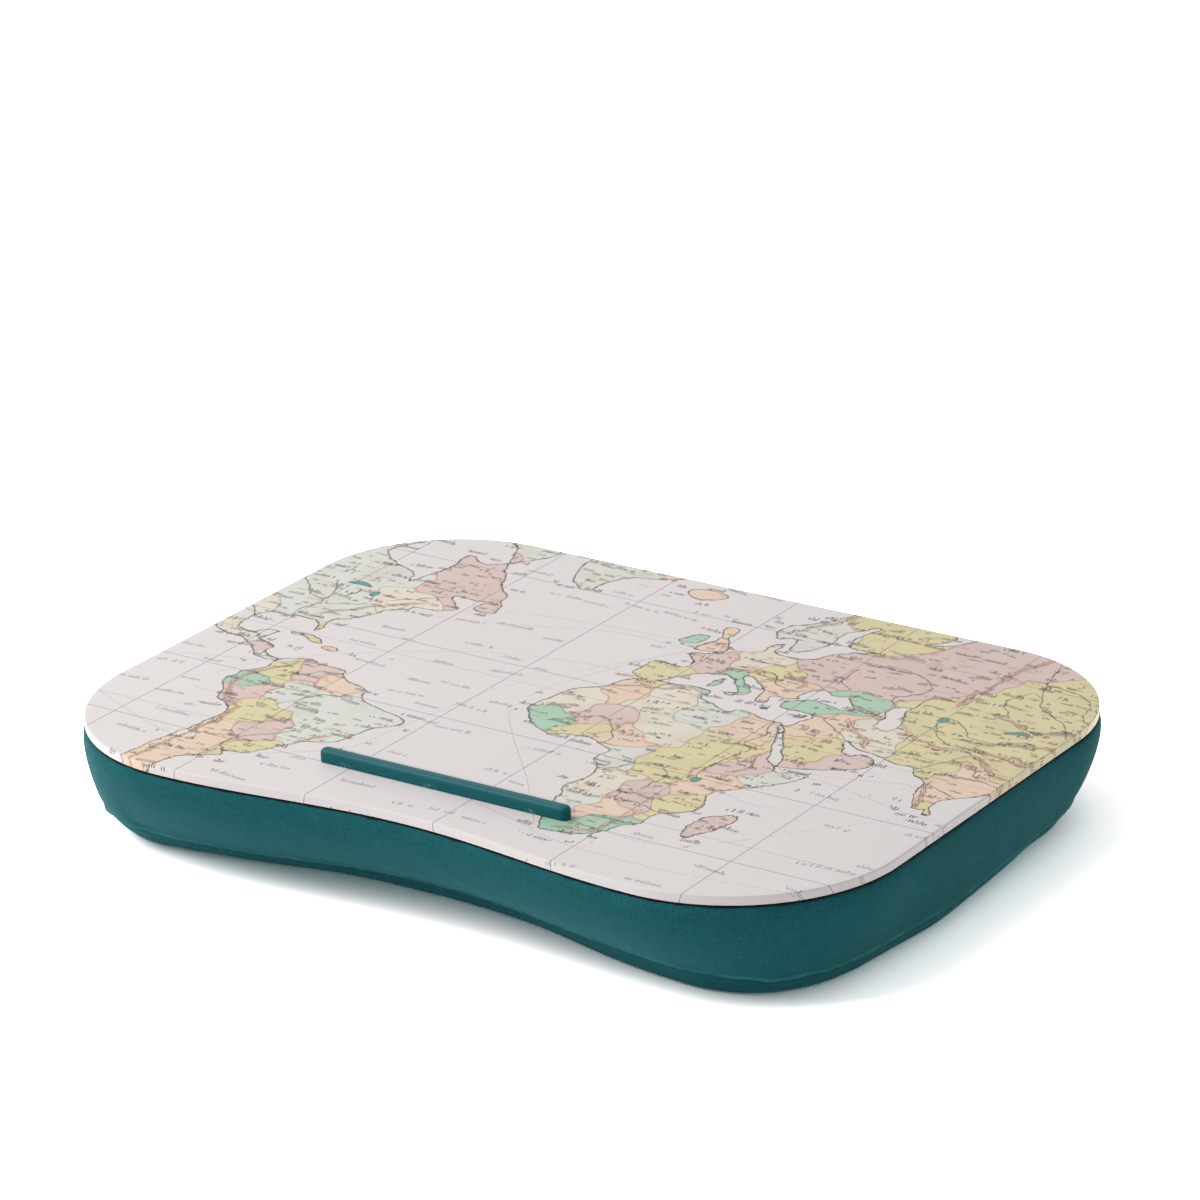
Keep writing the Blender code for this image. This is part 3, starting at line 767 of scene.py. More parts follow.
def inside(where, loop):
    """Which points a closed loop goes round, by counting crossings."""
    odd = np.zeros(len(where), bool)
    for start, end in zip(loop, np.roll(loop, -1, 0)):
        spans = (start[1] > where[:, 1]) != (end[1] > where[:, 1])
        rise = end[1] - start[1] if end[1] != start[1] else 1.0
        cut_x = start[0] + (where[:, 1] - start[1]) * (end[0] - start[0]) / rise
        odd ^= spans & (where[:, 0] < cut_x)
    return odd


def depth_in(where, places):
    """How deep points lie inside a loop of places, in mm, negative outside."""
    loop = eased(on_board(places), closed=True)
    gap, _, _ = nearest(where, loop, np.roll(loop, -1, 0))
    return np.where(inside(where, loop), gap, -gap)


def line_field(where, lines):
    """Distances from points to a set of curves, as nearest gives them."""
    curves = [eased(on_board(line), closed=False) for line in lines]
    starts = np.concatenate([curve[:-1] for curve in curves])
    ends = np.concatenate([curve[1:] for curve in curves])
    return nearest(where, starts, ends)


def swayed(where):
    """Points moved a little by slow waves, so that borders aren't straight.

    The waves' lengths are given in mm for each radian.
    """
    x, y = where.T
    shift_x = LONG_SWAY_MM * np.sin(y / 6.1 + 1.3) + SHORT_SWAY_MM * np.sin(y / 2.9 + x / 5.3)
    shift_y = LONG_SWAY_MM * np.sin(x / 6.7 + 0.4) + SHORT_SWAY_MM * np.sin(x / 3.1 - y / 4.7)
    return where + np.column_stack([shift_x, shift_y])


def tint_fields(where):
    """How deep points lie in each tint's countries, in mm, negative outside.

    A country is all that lies nearest its seed. The depth is half of how
    much further off the nearest seed of any other tint is.
    """
    seeds = on_board([seed[:2] for seed in SEEDS])
    tints = np.array([seed[2] for seed in SEEDS])
    moved = swayed(where)
    gaps = np.hypot(moved[:, None, 0] - seeds[:, 0], moved[:, None, 1] - seeds[:, 1])
    fields = []
    for tint in range(PINK + 1):
        own = gaps[:, tints == tint].min(1)
        other = gaps[:, tints != tint].min(1)
        fields.append((other - own) / 2)
    return fields


# %% [markdown]
# The film carries these distances as numbers on its points, and its place on
# the chart as a UV map. A point past the film's edge has its place further
# out, because the print was wrapped round the board.

# %% Distances kept on the mesh
COASTS = (SOUTH_AMERICA, NORTH_AMERICA, AFRICA, OLD_WORLD, *ISLANDS)
BARELY = 1e-6
BATCHES = 12


def keep_number(piece, name, numbers):
    """Store one number for each point of a piece's mesh."""
    kept = piece.data.attributes.new(name, "FLOAT", "POINT")
    kept.data.foreach_set("value", np.asarray(numbers, np.float32))


def mesh_points(piece):
    """A piece's points as an array, in metres."""
    flat = np.empty(len(piece.data.vertices) * 3, np.float32)
    piece.data.vertices.foreach_get("co", flat)
    return flat.reshape(-1, 3).astype(float)


def map_points(piece, name, across, along, whole=None):
    """Write a UV map from two numbers at every point of a piece.

    Where across runs round a loop, whole is its length. A face that closes
    the loop then gets the whole length in place of 0.
    """
    mesh = piece.data
    corners = np.empty(len(mesh.loops), np.int32)
    mesh.loops.foreach_get("vertex_index", corners)
    uv = np.column_stack([across[corners], along[corners]])
    if whole is not None:
        sizes = np.empty(len(mesh.polygons), np.int32)
        mesh.polygons.foreach_get("loop_total", sizes)
        face = np.repeat(np.arange(len(sizes)), sizes)
        widest = np.zeros(len(sizes))
        np.maximum.at(widest, face, uv[:, 0])
        closing = (widest[face] > whole * 0.75) & (uv[:, 0] < whole * 0.25)
        uv[closing, 0] += whole
    layer = mesh.uv_layers.new(name=name)
    layer.data.foreach_set("uv", uv.astype(np.float32).ravel())


def unfolded(points):
    """Where the chart lies at points of the film, in metres.

    On top it is the place itself. Past the edge the chart runs on, outwards
    by as much as the film has fallen. Batches keep the arrays small.
    """
    flat = points[:, :2].copy()
    fallen = np.flatnonzero(points[:, 2] < FILM_TOP - BARELY)
    for part in np.array_split(fallen, BATCHES):
        gap = np.hypot(*(flat[part, None] - rim).transpose(2, 0, 1))
        flat[part] += outward[gap.argmin(1)] * (FILM_TOP - points[part, 2:])
    return flat


chart_at = unfolded(mesh_points(film))
map_points(film, "chart", chart_at[:, 0], chart_at[:, 1])
chart_mm = chart_at * 1000
land = np.max([depth_in(chart_mm, loop) for loop in COASTS], 0)
land = np.minimum(land, -depth_in(chart_mm, INLAND_SEA))
lake = np.max([depth_in(chart_mm, loop) for loop in LAKES], 0)
keep_number(film, "land", land)
keep_number(film, "lake", lake)
for index, field in enumerate(tint_fields(chart_mm)):
    keep_number(film, f"tint_{index}", field)
for name, lines in (("river", RIVERS), ("ridge", RIDGES), ("route", ROUTES)):
    gap, signed, along = line_field(chart_mm, lines)
    keep_number(film, name, signed)
    keep_number(film, name + "_gap", gap)
    keep_number(film, name + "_run", along)
print("land covers", round(float((land > 0).mean()), 2), "of the film's points")

# %% [markdown]
# ## Inks
# The finish reads the distances back and turns them into ink. A tint fills
# where its own distance is above zero, a stronger wash of it runs along the
# coast and the borders, and each line is drawn where a distance is within a
# fraction of a millimetre of zero. Noise added to the coast's distance gives
# it its bays and capes, far finer than the typed points.

# %% Chart inks
FILM_ROUGHNESS = 0.42
SHORE_SOFT_MM = 0.04
PAPER = paint(235, 228, 226)
SEA_SHADE = paint(225, 218, 217)
# A pale and a strong colour for each tint, in the order of their names above.
TINTS = (
    (paint(223, 224, 216), paint(200, 205, 190)),
    (paint(232, 224, 206), paint(220, 194, 162)),
    (paint(223, 213, 164), paint(218, 188, 132)),
    (paint(236, 210, 186), paint(226, 174, 144)),
    (paint(172, 208, 182), paint(126, 184, 154)),
    (paint(222, 198, 192), paint(208, 148, 138)),
)
AGED = paint(196, 184, 152)
COAST_INK = paint(40, 38, 40)
LINE_INK = paint(92, 86, 86)
RIDGE_INK = paint(130, 70, 58)
RIDGE_FILL = paint(214, 184, 158)
NAME_RED = paint(196, 96, 82)
LAKE_INK = paint(70, 156, 140)
RIVER_INK = paint(52, 58, 58)

chart = Look("printed_film", roughness=FILM_ROUGHNESS)
spot = chart.node("ShaderNodeUVMap", {"uv_map": "chart"})
chart_x, chart_y, _ = (axis * 1000.0 for axis in chart.axes(spot))


def wander(size, detail, roughness, reach_mm):
    """Noise about zero, in mm, that moves a line by less than half its reach."""
    return (chart.noise(spot, size, detail, roughness) - 0.5) * reach_mm


def drawn(distance, half_width):
    """1 on a line of the given half width in mm, 0 off it, with a soft edge."""
    return chart.ease(abs(distance), half_width * 0.7, half_width * 1.4, 1.0, 0.0)


bays = wander(size=0.010, detail=6.0, roughness=0.68, reach_mm=7.5)
shore = chart.attribute("land") + bays
on_land = chart.ease(shore, -SHORE_SOFT_MM, SHORE_SOFT_MM)
print("coasts", len(COASTS))

# %% [markdown]
# A tint's wash is strongest on its border, fades inwards within a millimetre
# or two, and is blotched, as one laid on with a brush. Over all of them go
# wide stains of old paper.

# %% Tints and washes
WASH_FROM_MM = 0.1
WASH_WIDTH_MM = 1.5
WASH_SHARE = 0.75
TINT_SOFT_MM = 0.06
STAIN_SHARE = 0.3

fields = [chart.attribute(f"tint_{index}") for index in range(len(TINTS))]
inland = fields[0]
for field in fields[1:]:
    inland = inland.most(field)
blotch = (chart.noise(spot, 0.004, 3.0) * 1.6 - 0.1).most(0.0).least(1.0)
wash = chart.ease(shore.least(inland), WASH_FROM_MM, WASH_WIDTH_MM, WASH_SHARE, 0.0) * blotch
tones = [chart.mix(wash, pale, strong) for pale, strong in TINTS]
ground = tones[0]
for field, tone in zip(fields[1:], tones[1:]):
    ground = chart.mix(chart.ease(field, -TINT_SOFT_MM, TINT_SOFT_MM), ground, tone)
stain = chart.ease(chart.noise(spot, 0.022, 4.0, 0.6), 0.42, 0.72, 0.0, STAIN_SHARE)
ground = chart.mix(stain, ground, AGED)
print("tints", len(fields))

# %% [markdown]
# Each kind of line is first a number over the chart, 1 on the line and 0 off
# it. The grid's straight lines come from the place alone: a wrapped x repeats
# one meridian, and a line is drawn where it crosses zero. A sine cuts the
# tropics into dots and the sea routes into dashes, and noise bends the rivers.

# %% Lines on the chart
GRID_HALF_MM = 0.18
LINE_HALF_MM = 0.2
RIVER_HALF_MM = 0.3
RIVER_REACH_MM = 2.4
ROUTE_REACH_MM = 1.0
PARALLELS = (-30.0, 0.0, 30.0, 60.0)
TROPIC = 23.44
DOT_RADIANS = 4.2
DASH_RADIANS = 3.4


def parallel(latitude):
    """Distance in mm from the line of one latitude."""
    return chart_y - float(on_board([(0.0, latitude)])[0, 1])


half_turn = DEGREES_30_MM / 2
meridians = (chart_x - ZERO_X_MM).wrap(half_turn, -half_turn)
grid = drawn(meridians, GRID_HALF_MM)
for latitude in PARALLELS:
    grid = grid.most(drawn(parallel(latitude), GRID_HALF_MM))
dots = (chart_x * DOT_RADIANS).sine() > -0.2
for latitude in (-TROPIC, TROPIC):
    grid = grid.most(drawn(parallel(latitude), GRID_HALF_MM) * dots)
dashes = (chart.attribute("route_run") * DASH_RADIANS).sine() > -0.3
near_route = chart.attribute("route_gap") < ROUTE_REACH_MM
route = drawn(chart.attribute("route"), LINE_HALF_MM) * near_route * dashes * (1.0 - on_land)
border = drawn(inland, LINE_HALF_MM) * on_land
bends = wander(size=0.007, detail=5.0, roughness=0.7, reach_mm=6.0)
river = drawn(chart.attribute("river") + bends, RIVER_HALF_MM)
river = river * (chart.attribute("river_gap") < RIVER_REACH_MM) * on_land
print("lines:", len(RIVERS), "rivers,", len(ROUTES), "routes")

# %% [markdown]
# A ridge is a pair of bent lines with a filled strip between them, and one
# loose strand that crosses it. Lakes get the coast's bays, only smaller.

# %% Ridges and lakes
RIDGE_HALF_MM = 1.15
RIDGE_LINE_MM = 0.24
RIDGE_REACH_MM = 5.0

near_ridge = (chart.attribute("ridge_gap") < RIDGE_REACH_MM) * on_land
bend = wander(size=0.012, detail=3.0, roughness=0.55, reach_mm=13.0)
sway = wander(size=0.0042, detail=3.0, roughness=0.6, reach_mm=3.4)
ridge = abs(chart.attribute("ridge") + bend)
strand = chart.attribute("ridge") + bend * 0.75 + sway
ridge_fill = (ridge < RIDGE_HALF_MM) * near_ridge
sides = drawn(ridge - RIDGE_HALF_MM, RIDGE_LINE_MM)
ridge_line = sides.most(drawn(strand, RIDGE_LINE_MM)) * near_ridge
lake_depth = chart.attribute("lake") + bays * 0.3
print("ridges", len(RIDGES), "and lakes", len(LAKES))

# %% [markdown]
# The real chart carries names. None is drawn here. Rows of small plain ticks
# stand in for them, so that the print keeps its fine texture from a step
# away: a Voronoi pattern scatters the rows, each has its own length, and dice
# give each tick its height.

# %% Rows of ticks
NEAR_COAST_MM = 10.0


def tick_rows(spacing, half_length, half_height, pitch, share):
    """Rows of upright ticks, in a share of the cells of a Voronoi pattern.

    Within a cell, x and y run from the cell's own point, in mm. A row covers
    |x| < half length at most and is cut into slots of one pitch. A slot's
    tick stands on y = -0.6 half height. Most are low, some are tall, and a
    few are left out.
    """
    settings = {"voronoi_dimensions": "2D"}
    sockets = {"Vector": spot, "Scale": 1000.0 / spacing, "Randomness": 0.8}
    cells = chart.node("ShaderNodeTexVoronoi", settings, sockets).socket.node
    middle = Value(chart, cells.outputs["Position"])
    chance = chart.axes(Value(chart, cells.outputs["Color"]))
    offset = chart.node("ShaderNodeVectorMath", {"operation": "SUBTRACT"}, {0: spot, 1: middle})
    across, along, _ = (axis * 1000.0 for axis in chart.axes(offset))
    tilted = along - across * (chance[0] - 0.5) * 0.3
    slots = across / pitch + 100.0
    slot = slots.math("FLOOR")
    where = chart.vector(slot, chance[0] * 90.0, chance[1] * 90.0)
    dice = chart.axes(chart.node("ShaderNodeTexWhiteNoise", None, {"Vector": where}, output=1))
    beside = abs(slots - slot - 0.5 + tilted * (dice[1] - 0.5) * 0.2)
    row = abs(across) < (chance[1] * 0.7 + 0.3) * half_length
    top = ((dice[0] > 0.72) * 0.6 + 0.4) * half_height
    tick = (beside < dice[1] * 0.12 + 0.18) * (tilted > half_height * -0.6) * (tilted < top)
    return row * tick * (dice[2] > 0.12) * (chance[2] < share)


near_coast = shore > -NEAR_COAST_MM
# Spacing, half length, half height and pitch in mm, and the share of cells.
names = tick_rows(17.0, 8.0, 2.5, 1.45, 0.85) * near_coast
small_names = tick_rows(8.5, 4.2, 1.6, 1.1, 0.65) * on_land
red_names = tick_rows(10.5, 5.5, 1.5, 1.1, 0.55) * on_land
sea_names = tick_rows(25.0, 11.5, 2.1, 1.35, 0.6) * (1.0 - near_coast)
print("ticks stand in for names in 4 sizes")

# %% [markdown]
# Now each ink goes over those before it, with a share that says how well it
# covers. A fine grain in the last one leaves the print a little uneven.

# %% Lay the inks over each other
COAST_HALF_MM = 0.34
LAKE_HALF_MM = 0.22
GRAIN_SHARE = 0.10

sea = chart.mix(chart.noise(spot, 0.16, 2.0), PAPER, SEA_SHADE)
inks = chart.mix(on_land, sea, ground)
for share, ink in (
    (grid * 0.85, LINE_INK),
    (route * 0.6, LINE_INK),
    (red_names * 0.75, NAME_RED),
    (ridge_fill * 0.6, RIDGE_FILL),
    (ridge_line * 0.85, RIDGE_INK),
    (river * 0.9, RIVER_INK),
    (border * 0.55, RIDGE_INK),
    (small_names, COAST_INK),
    (sea_names * 0.7, LINE_INK),
    (names * 0.95, COAST_INK),
    ((lake_depth > 0.0) * on_land, LAKE_INK),
    (drawn(lake_depth, LAKE_HALF_MM) * on_land, COAST_INK),
    (drawn(shore, COAST_HALF_MM) * 0.95, COAST_INK),
):
    inks = chart.mix(share, inks, ink)
grain = chart.noise(spot, 0.0009, 3.0, 0.6)
chart.colour(chart.mix(chart.ease(grain, 0.5, 0.75, 0.0, GRAIN_SHARE), inks, LINE_INK))

# %% [markdown]
# The film itself is satin. Its pressing onto fibre leaves a faint unevenness
# that only a reflection shows, so the bump is a few hundredths of a
# millimetre deep.

# %% Satin of the film
chart.rough(chart.noise(spot, 0.03, 3.0) * 0.16 + 0.34)
chart.relief(chart.noise(spot, 0.0035, 2.0), 0.00004, 0.6)
film.data.materials.append(chart.material)
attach(film, "root")
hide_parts("print_foil")
print("inks laid on", film.name)

# %% [markdown]
# ## The raw board and its screws
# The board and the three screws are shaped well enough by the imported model,
# so those nodes stay and only get finishes. Pressed fibre is a brown felt of
# pale and dark flecks. The screws are zinc plated, with the faint rings that
# turning leaves round them.

# %% Finishes for the board and the screws
RING_RADIANS = 9000.0


def dress(node, look):
    """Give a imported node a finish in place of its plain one."""
    node_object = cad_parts[node]
    for material_slot in node_object.material_slots:
        material_slot.material = look.material


fibre = Look("fibre_board", roughness=0.9)
spot = fibre.place()
fleck = fibre.noise(spot, 0.0016, 4.0, 0.7)
felt = fibre.mix(fibre.ease(fleck, 0.36, 0.64), paint(122, 92, 62), paint(186, 152, 112))
patch = fibre.ease(fibre.noise(spot, 0.02, 2.0), 0.4, 0.7, 0.0, 0.3)
fibre.colour(fibre.mix(patch, felt, paint(150, 118, 84)))
fibre.rough(fleck * 0.2 + 0.75)
fibre.relief(fleck, 0.0002, 0.7)
dress("board_core", fibre)

zinc = Look("zinc_plate", roughness=0.6, metallic=1.0)
spot = zinc.place()
tarnish = zinc.noise(spot, 0.0022, 3.0)
zinc.colour(zinc.mix(tarnish, paint(208, 208, 204), paint(178, 180, 182)))
rings_cut = (zinc.axes(spot)[2] * RING_RADIANS).sine() * 0.5 + 0.5
zinc.rough(tarnish * 0.25 + 0.22)
zinc.relief(rings_cut, 0.00002, 0.5)
for screw in SCREWS:
    dress(screw, zinc)
print("dressed the board and", len(SCREWS), "screws")

# %% [markdown]
# ## The stop bar
# The bar is one moulding with a rounded plan and a fuller rounding along its
# top, which is what catches the light as one long bright line. The packed
# bar rounds its edges in a few steps. A finer one is carried up from its foot
# ring by ring, and its small foot radius meets the film.

# %% Stop bar surface
bar_low, bar_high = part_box("stop_bar")
BAR_CORNER = 0.0031
BAR_EDGE = 0.0022
BAR_FOOT = 0.0002
BAR_SINK = 0.0002
BAR_TOP_STEP = 0.0004
BAR_ARC_STEPS = 12
BAR_EDGE_STEPS = 10
BAR_RUN_STEPS = 70


def bar_outline():
    """Points and outward ways of the bar's plan.

    Four quarter circles and the straight runs between them are each cut into
    even steps.
    """
    middle = np.array([(bar_low.x + bar_high.x) / 2, (bar_low.y + bar_high.y) / 2])
    reach = np.array([bar_high.x - bar_low.x, bar_high.y - bar_low.y]) / 2 - BAR_CORNER
    points, ways = [], []
    for quarter, signs in enumerate(((1, -1), (1, 1), (-1, 1), (-1, -1))):
        angle = np.pi / 2 * (quarter - 1 + np.linspace(0.0, 1.0, BAR_ARC_STEPS))
        way = np.column_stack([np.cos(angle), np.sin(angle)])
        points.append(middle + reach * signs + BAR_CORNER * way)
        ways.append(way)
    loop, loop_ways = [], []
    for quarter in range(4):
        start, end = points[quarter][-1], points[(quarter + 1) % 4][0]
        steps = max(2, round(BAR_RUN_STEPS * math.hypot(*(end - start)) / (2 * reach[0])))
        share = (np.arange(1, steps) / steps)[:, None]
        loop += [points[quarter], start + (end - start) * share]
        loop_ways += [ways[quarter], np.repeat(ways[quarter][-1:], steps - 1, 0)]
    return np.concatenate(loop), np.concatenate(loop_ways)


bar_rim, bar_ways = bar_outline()
base = bar_low.z - BAR_SINK
profile = [(BAR_FOOT, base), (0.0, base + BAR_FOOT), (0.0, bar_high.z - BAR_EDGE)]
for angle in np.linspace(0.0, np.pi / 2, BAR_EDGE_STEPS)[1:]:
    rise = BAR_EDGE * (1 - math.sin(angle))
    profile.append((BAR_EDGE * (1 - math.cos(angle)), bar_high.z - rise))
profile.append((BAR_EDGE + BAR_TOP_STEP, bar_high.z))
bar = ringed_piece("moulded_bar", [drawn_in(bar_rim, bar_ways, *step) for step in profile])
print("bar", len(bar.data.vertices), "points")

# %% Holes in the bar
screw_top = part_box(SCREWS[0])[1].z
bored(bar, base - OVERRUN, screw_top + BAR_SINK)
print("bored bar", len(bar.data.vertices), "points")

# %% [markdown]
# The bar is dyed through, so its colour hardly changes. Handling shows in
# the gloss: it is a little duller in some places. Three small pale spots lie
# low on the side that faces the user: painted glints, with a duller gloss.

# %% Bar finish
# Three pale spots low on the front: painted glints.
GLINT_SPOTS = ((-0.054, 0.004), (-0.006, 0.005), (0.050, 0.004))
GLINT_LOW = 0.0012
GLINT_HIGH = 0.0026
GLINT_FRONT = 0.0006
GLINT_TEAL = paint(120, 170, 168)

dyed = Look("teal_plastic", roughness=0.36, specular_ior_level=0.18)
spot = dyed.place()
bar_x, bar_y, bar_z = dyed.axes(spot)
shade = dyed.noise(spot, 0.018, 2.0)
teal = dyed.mix(shade, paint(4, 88, 96), paint(12, 98, 106))
low_down = dyed.ease(bar_z, bar_low.z + GLINT_LOW, bar_low.z + GLINT_HIGH, 1.0, 0.0)
in_front = bar_y < bar_low.y + GLINT_FRONT
glints = 0.0
for glint_x, half in GLINT_SPOTS:
    glints = dyed.ease(abs(bar_x - glint_x), half * 0.2, half, 1.0, 0.0) + glints
glint_breakup = dyed.ease(dyed.noise(spot, 0.0012, 3.0), 0.45, 0.6)
painted_highlight = glints * low_down * in_front * glint_breakup
# The teal turns paler on those spots, as painted glints.
dyed.colour(dyed.mix(painted_highlight * 0.5, teal, GLINT_TEAL))
dyed.rough(dyed.noise(spot, 0.006, 3.0) * 0.14 + 0.30 + painted_highlight * 0.3)
dyed.relief(dyed.noise(spot, 0.0005, 2.0), 0.00001, 0.5)
bar.data.materials.append(dyed.material)
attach(bar, "root")
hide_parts("stop_bar")
print("scuffs on the bar", len(GLINT_SPOTS))

# %% [markdown]
# ## The cushion's shape
# The cushion is as wide as the board at its top, swells by a hair under it,
# and draws in towards a seam near the floor, deeper at the waist than
# elsewhere. Below the seam it turns in to the flat that it rests on. Tables
# of shares give that section, as a tailor's pattern does, and a smooth curve
# is run through each table. Rows lie close together near the seam, where the
# folds are small, and further apart above it. Loose beads never settle
# evenly, so the foot of the wall stands out in some places and draws in at
# others by a few millimetres, and the seam rises and falls by about two, as
# they do in the photograph. Those tables go by the share of the way round,
# from the front middle to the right and on.

# %% Section of the cushion
BAND_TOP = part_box("side_band")[1].z
SEAM_HEIGHT = 0.0114
SIDE_SWELL = 0.0009
SIDE_DRAW = 0.0105
WAIST_DRAW = 0.024
WAIST_SPREAD = 0.168
WAIST_POWER = 2.3
BASE_TURN = 0.0105
DROP_SHARES = (0.0, 0.15, 0.35, 0.57, 0.77, 0.90, 1.0)
SWELL_SHARES = (0.3, 1.0, 0.6, 0.1, 0.0, 0.0, 0.0)
DRAW_SHARES = (0.0, 0.0, 0.09, 0.29, 0.56, 0.80, 1.0)
TURN_SHARES = (0.0, 0.20, 0.44, 0.70, 1.0)
LEFT_SHARES = (1.0, 0.72, 0.40, 0.13, 0.0)
SETTLED_AT = (
    0.0, 0.035, 0.067, 0.10, 0.133, 0.163, 0.185, 0.208, 0.232, 0.255, 0.284, 0.303, 0.333,
    0.367, 0.40, 0.52, 0.66, 0.80, 0.832, 0.852, 0.872, 0.888, 0.905, 0.93, 0.95, 0.967, 0.985, 1.0,
)
SETTLED_OUT_MM = (
    0.0, 1.0, 0.4, -1.4, -1.4, -2.8, -3.4, -0.4, 3.0, 2.2, -0.2, -2.6, -2.6,
    -0.6, 0.3, -0.8, 0.6, 0.8, 3.9, 5.9, 3.2, -1.6, -3.6, -3.4, -3.4, -2.8, -0.9, 0.0,
)
SEAM_AT = (
    0.0, 0.03, 0.06, 0.08, 0.105, 0.14, 0.20, 0.30, 0.40,
    0.62, 0.80, 0.88, 0.905, 0.945, 0.965, 0.985, 1.0,
)
SEAM_RISE_MM = (
    0.4, 1.0, 1.8, 2.5, 1.4, -2.0, -1.0, -0.7, 0.0,
    0.4, 0.0, 0.1, 0.6, -0.2, 0.0, 0.4, 0.4,
)
BASE_AT = (0.0, 0.033, 0.07, 0.25, 0.50, 0.70, 0.80, 0.85, 0.88, 0.90, 0.93, 0.96, 0.98, 1.0)
BASE_IN_MM = (-1.5, -0.5, -0.5, -1.0, 0.0, 0.0, 0.0, 3.5, 6.0, 4.0, 2.5, 1.0, -1.0, -1.5)
SIDE_ROWS = 56
BASE_ROWS = 24
SIDE_CROWDING = 1.8
BASE_CROWDING = 1.5
SETTLE_EASE = 0.25
TABLE_STEPS = 12


def read_table(at, places, shares):
    """A table of shares read between its rows, along a smooth curve.

    The places have to keep rising along the curve, which asks for rows that
    don't crowd together all at once.
    """
    curve = eased(np.column_stack([places, shares]), closed=False, steps=TABLE_STEPS)
    assert (np.diff(curve[:, 0]) > 0).all(), "a table's rows crowd too suddenly"
    return np.interp(at, curve[:, 0], curve[:, 1])


round_share = rim_run / rim_length
waist = WAIST_DRAW * np.exp(-((rim[:, 0] / WAIST_SPREAD) ** 2)) * np.maximum(0.0, -outward[:, 1])
down = 1 - np.linspace(1.0, 0.0, SIDE_ROWS + 1) ** SIDE_CROWDING
side_inset = SIDE_DRAW * read_table(down, DROP_SHARES, DRAW_SHARES)
side_inset -= SIDE_SWELL * read_table(down, DROP_SHARES, SWELL_SHARES)
side_inset = side_inset[:, None] + waist * down[:, None] ** WAIST_POWER
settled_out = read_table(round_share, SETTLED_AT, SETTLED_OUT_MM) / 1000
side_inset -= settled_out * (down ** 2 * (1 - SETTLE_EASE * down))[:, None] / (1 - SETTLE_EASE)
seam_height = SEAM_HEIGHT + read_table(round_share, SEAM_AT, SEAM_RISE_MM) / 1000
side_height = BAND_TOP - (BAND_TOP - seam_height) * down[:, None]
turned_in = np.linspace(0.0, 1.0, BASE_ROWS + 1)[1:] ** BASE_CROWDING
base_turn = BASE_TURN + read_table(round_share, BASE_AT, BASE_IN_MM) / 1000
base_inset = SIDE_DRAW + base_turn * turned_in[:, None] + waist - settled_out
base_height = seam_height * np.maximum(read_table(turned_in, TURN_SHARES, LEFT_SHARES), 0.0)[:, None]
base_height[-1] = 0.0
insets = np.concatenate([side_inset, base_inset])
heights = np.concatenate([side_height, base_height])
skin = np.array([ring(inset, height) for inset, height in zip(insets, heights)])
print("section", round(float(insets[SIDE_ROWS].max()) * 1000, 1), "mm drawn in at the waist's seam")

# %% [markdown]
# Folds, dents and cloth thickness are all laid on along the sheet's own
# normals, which come from its grid.

# %% Ways out of a sheet
def ways_out(sheet):
    """Unit normals of rings of points that run from the top down.

    The way round crossed with the way down points into the cushion, so it
    is turned over.
    """
    round_way = np.roll(sheet, -1, 1) - np.roll(sheet, 1, 1)
    down_way = np.gradient(sheet, axis=0)
    way = np.cross(down_way, round_way)
    return way / np.linalg.norm(way, axis=2)[..., None]


out = ways_out(skin)
print("outward check", round(float((out[5, :, :2] * outward).sum(1).min()), 2))

# %% [markdown]
# ## Cloth under pressure
# Thousands of foam beads press the cover outwards, and the cloth answers with
# shallow swells between its seams. That is a thing to simulate, not to draw.
# A coarser copy of the skin is held at the board and on the floor, a little
# air pressure fills it for twenty frames, and how far each point has moved
# is kept. The move is capped, because beads can't lift a sewn cover far.

# %% Let the cloth settle
SIM_EVERY = 3
SIM_SPACING = 0.0024
SIM_FRAMES = 20
SIM_CAP = 0.0014
SIM_CLOTH = {
    "quality": 6,
    "mass": 0.25,
    "tension_stiffness": 30.0,
    "compression_stiffness": 30.0,
    "shear_stiffness": 12.0,
    "bending_stiffness": 0.6,
    "air_damping": 4.0,
    "use_pressure": True,
    "uniform_pressure_force": 4.0,
}
LID_SHARE = 0.985
SOLE_SHARE = 0.6
HELD_WITHIN = 1e-5


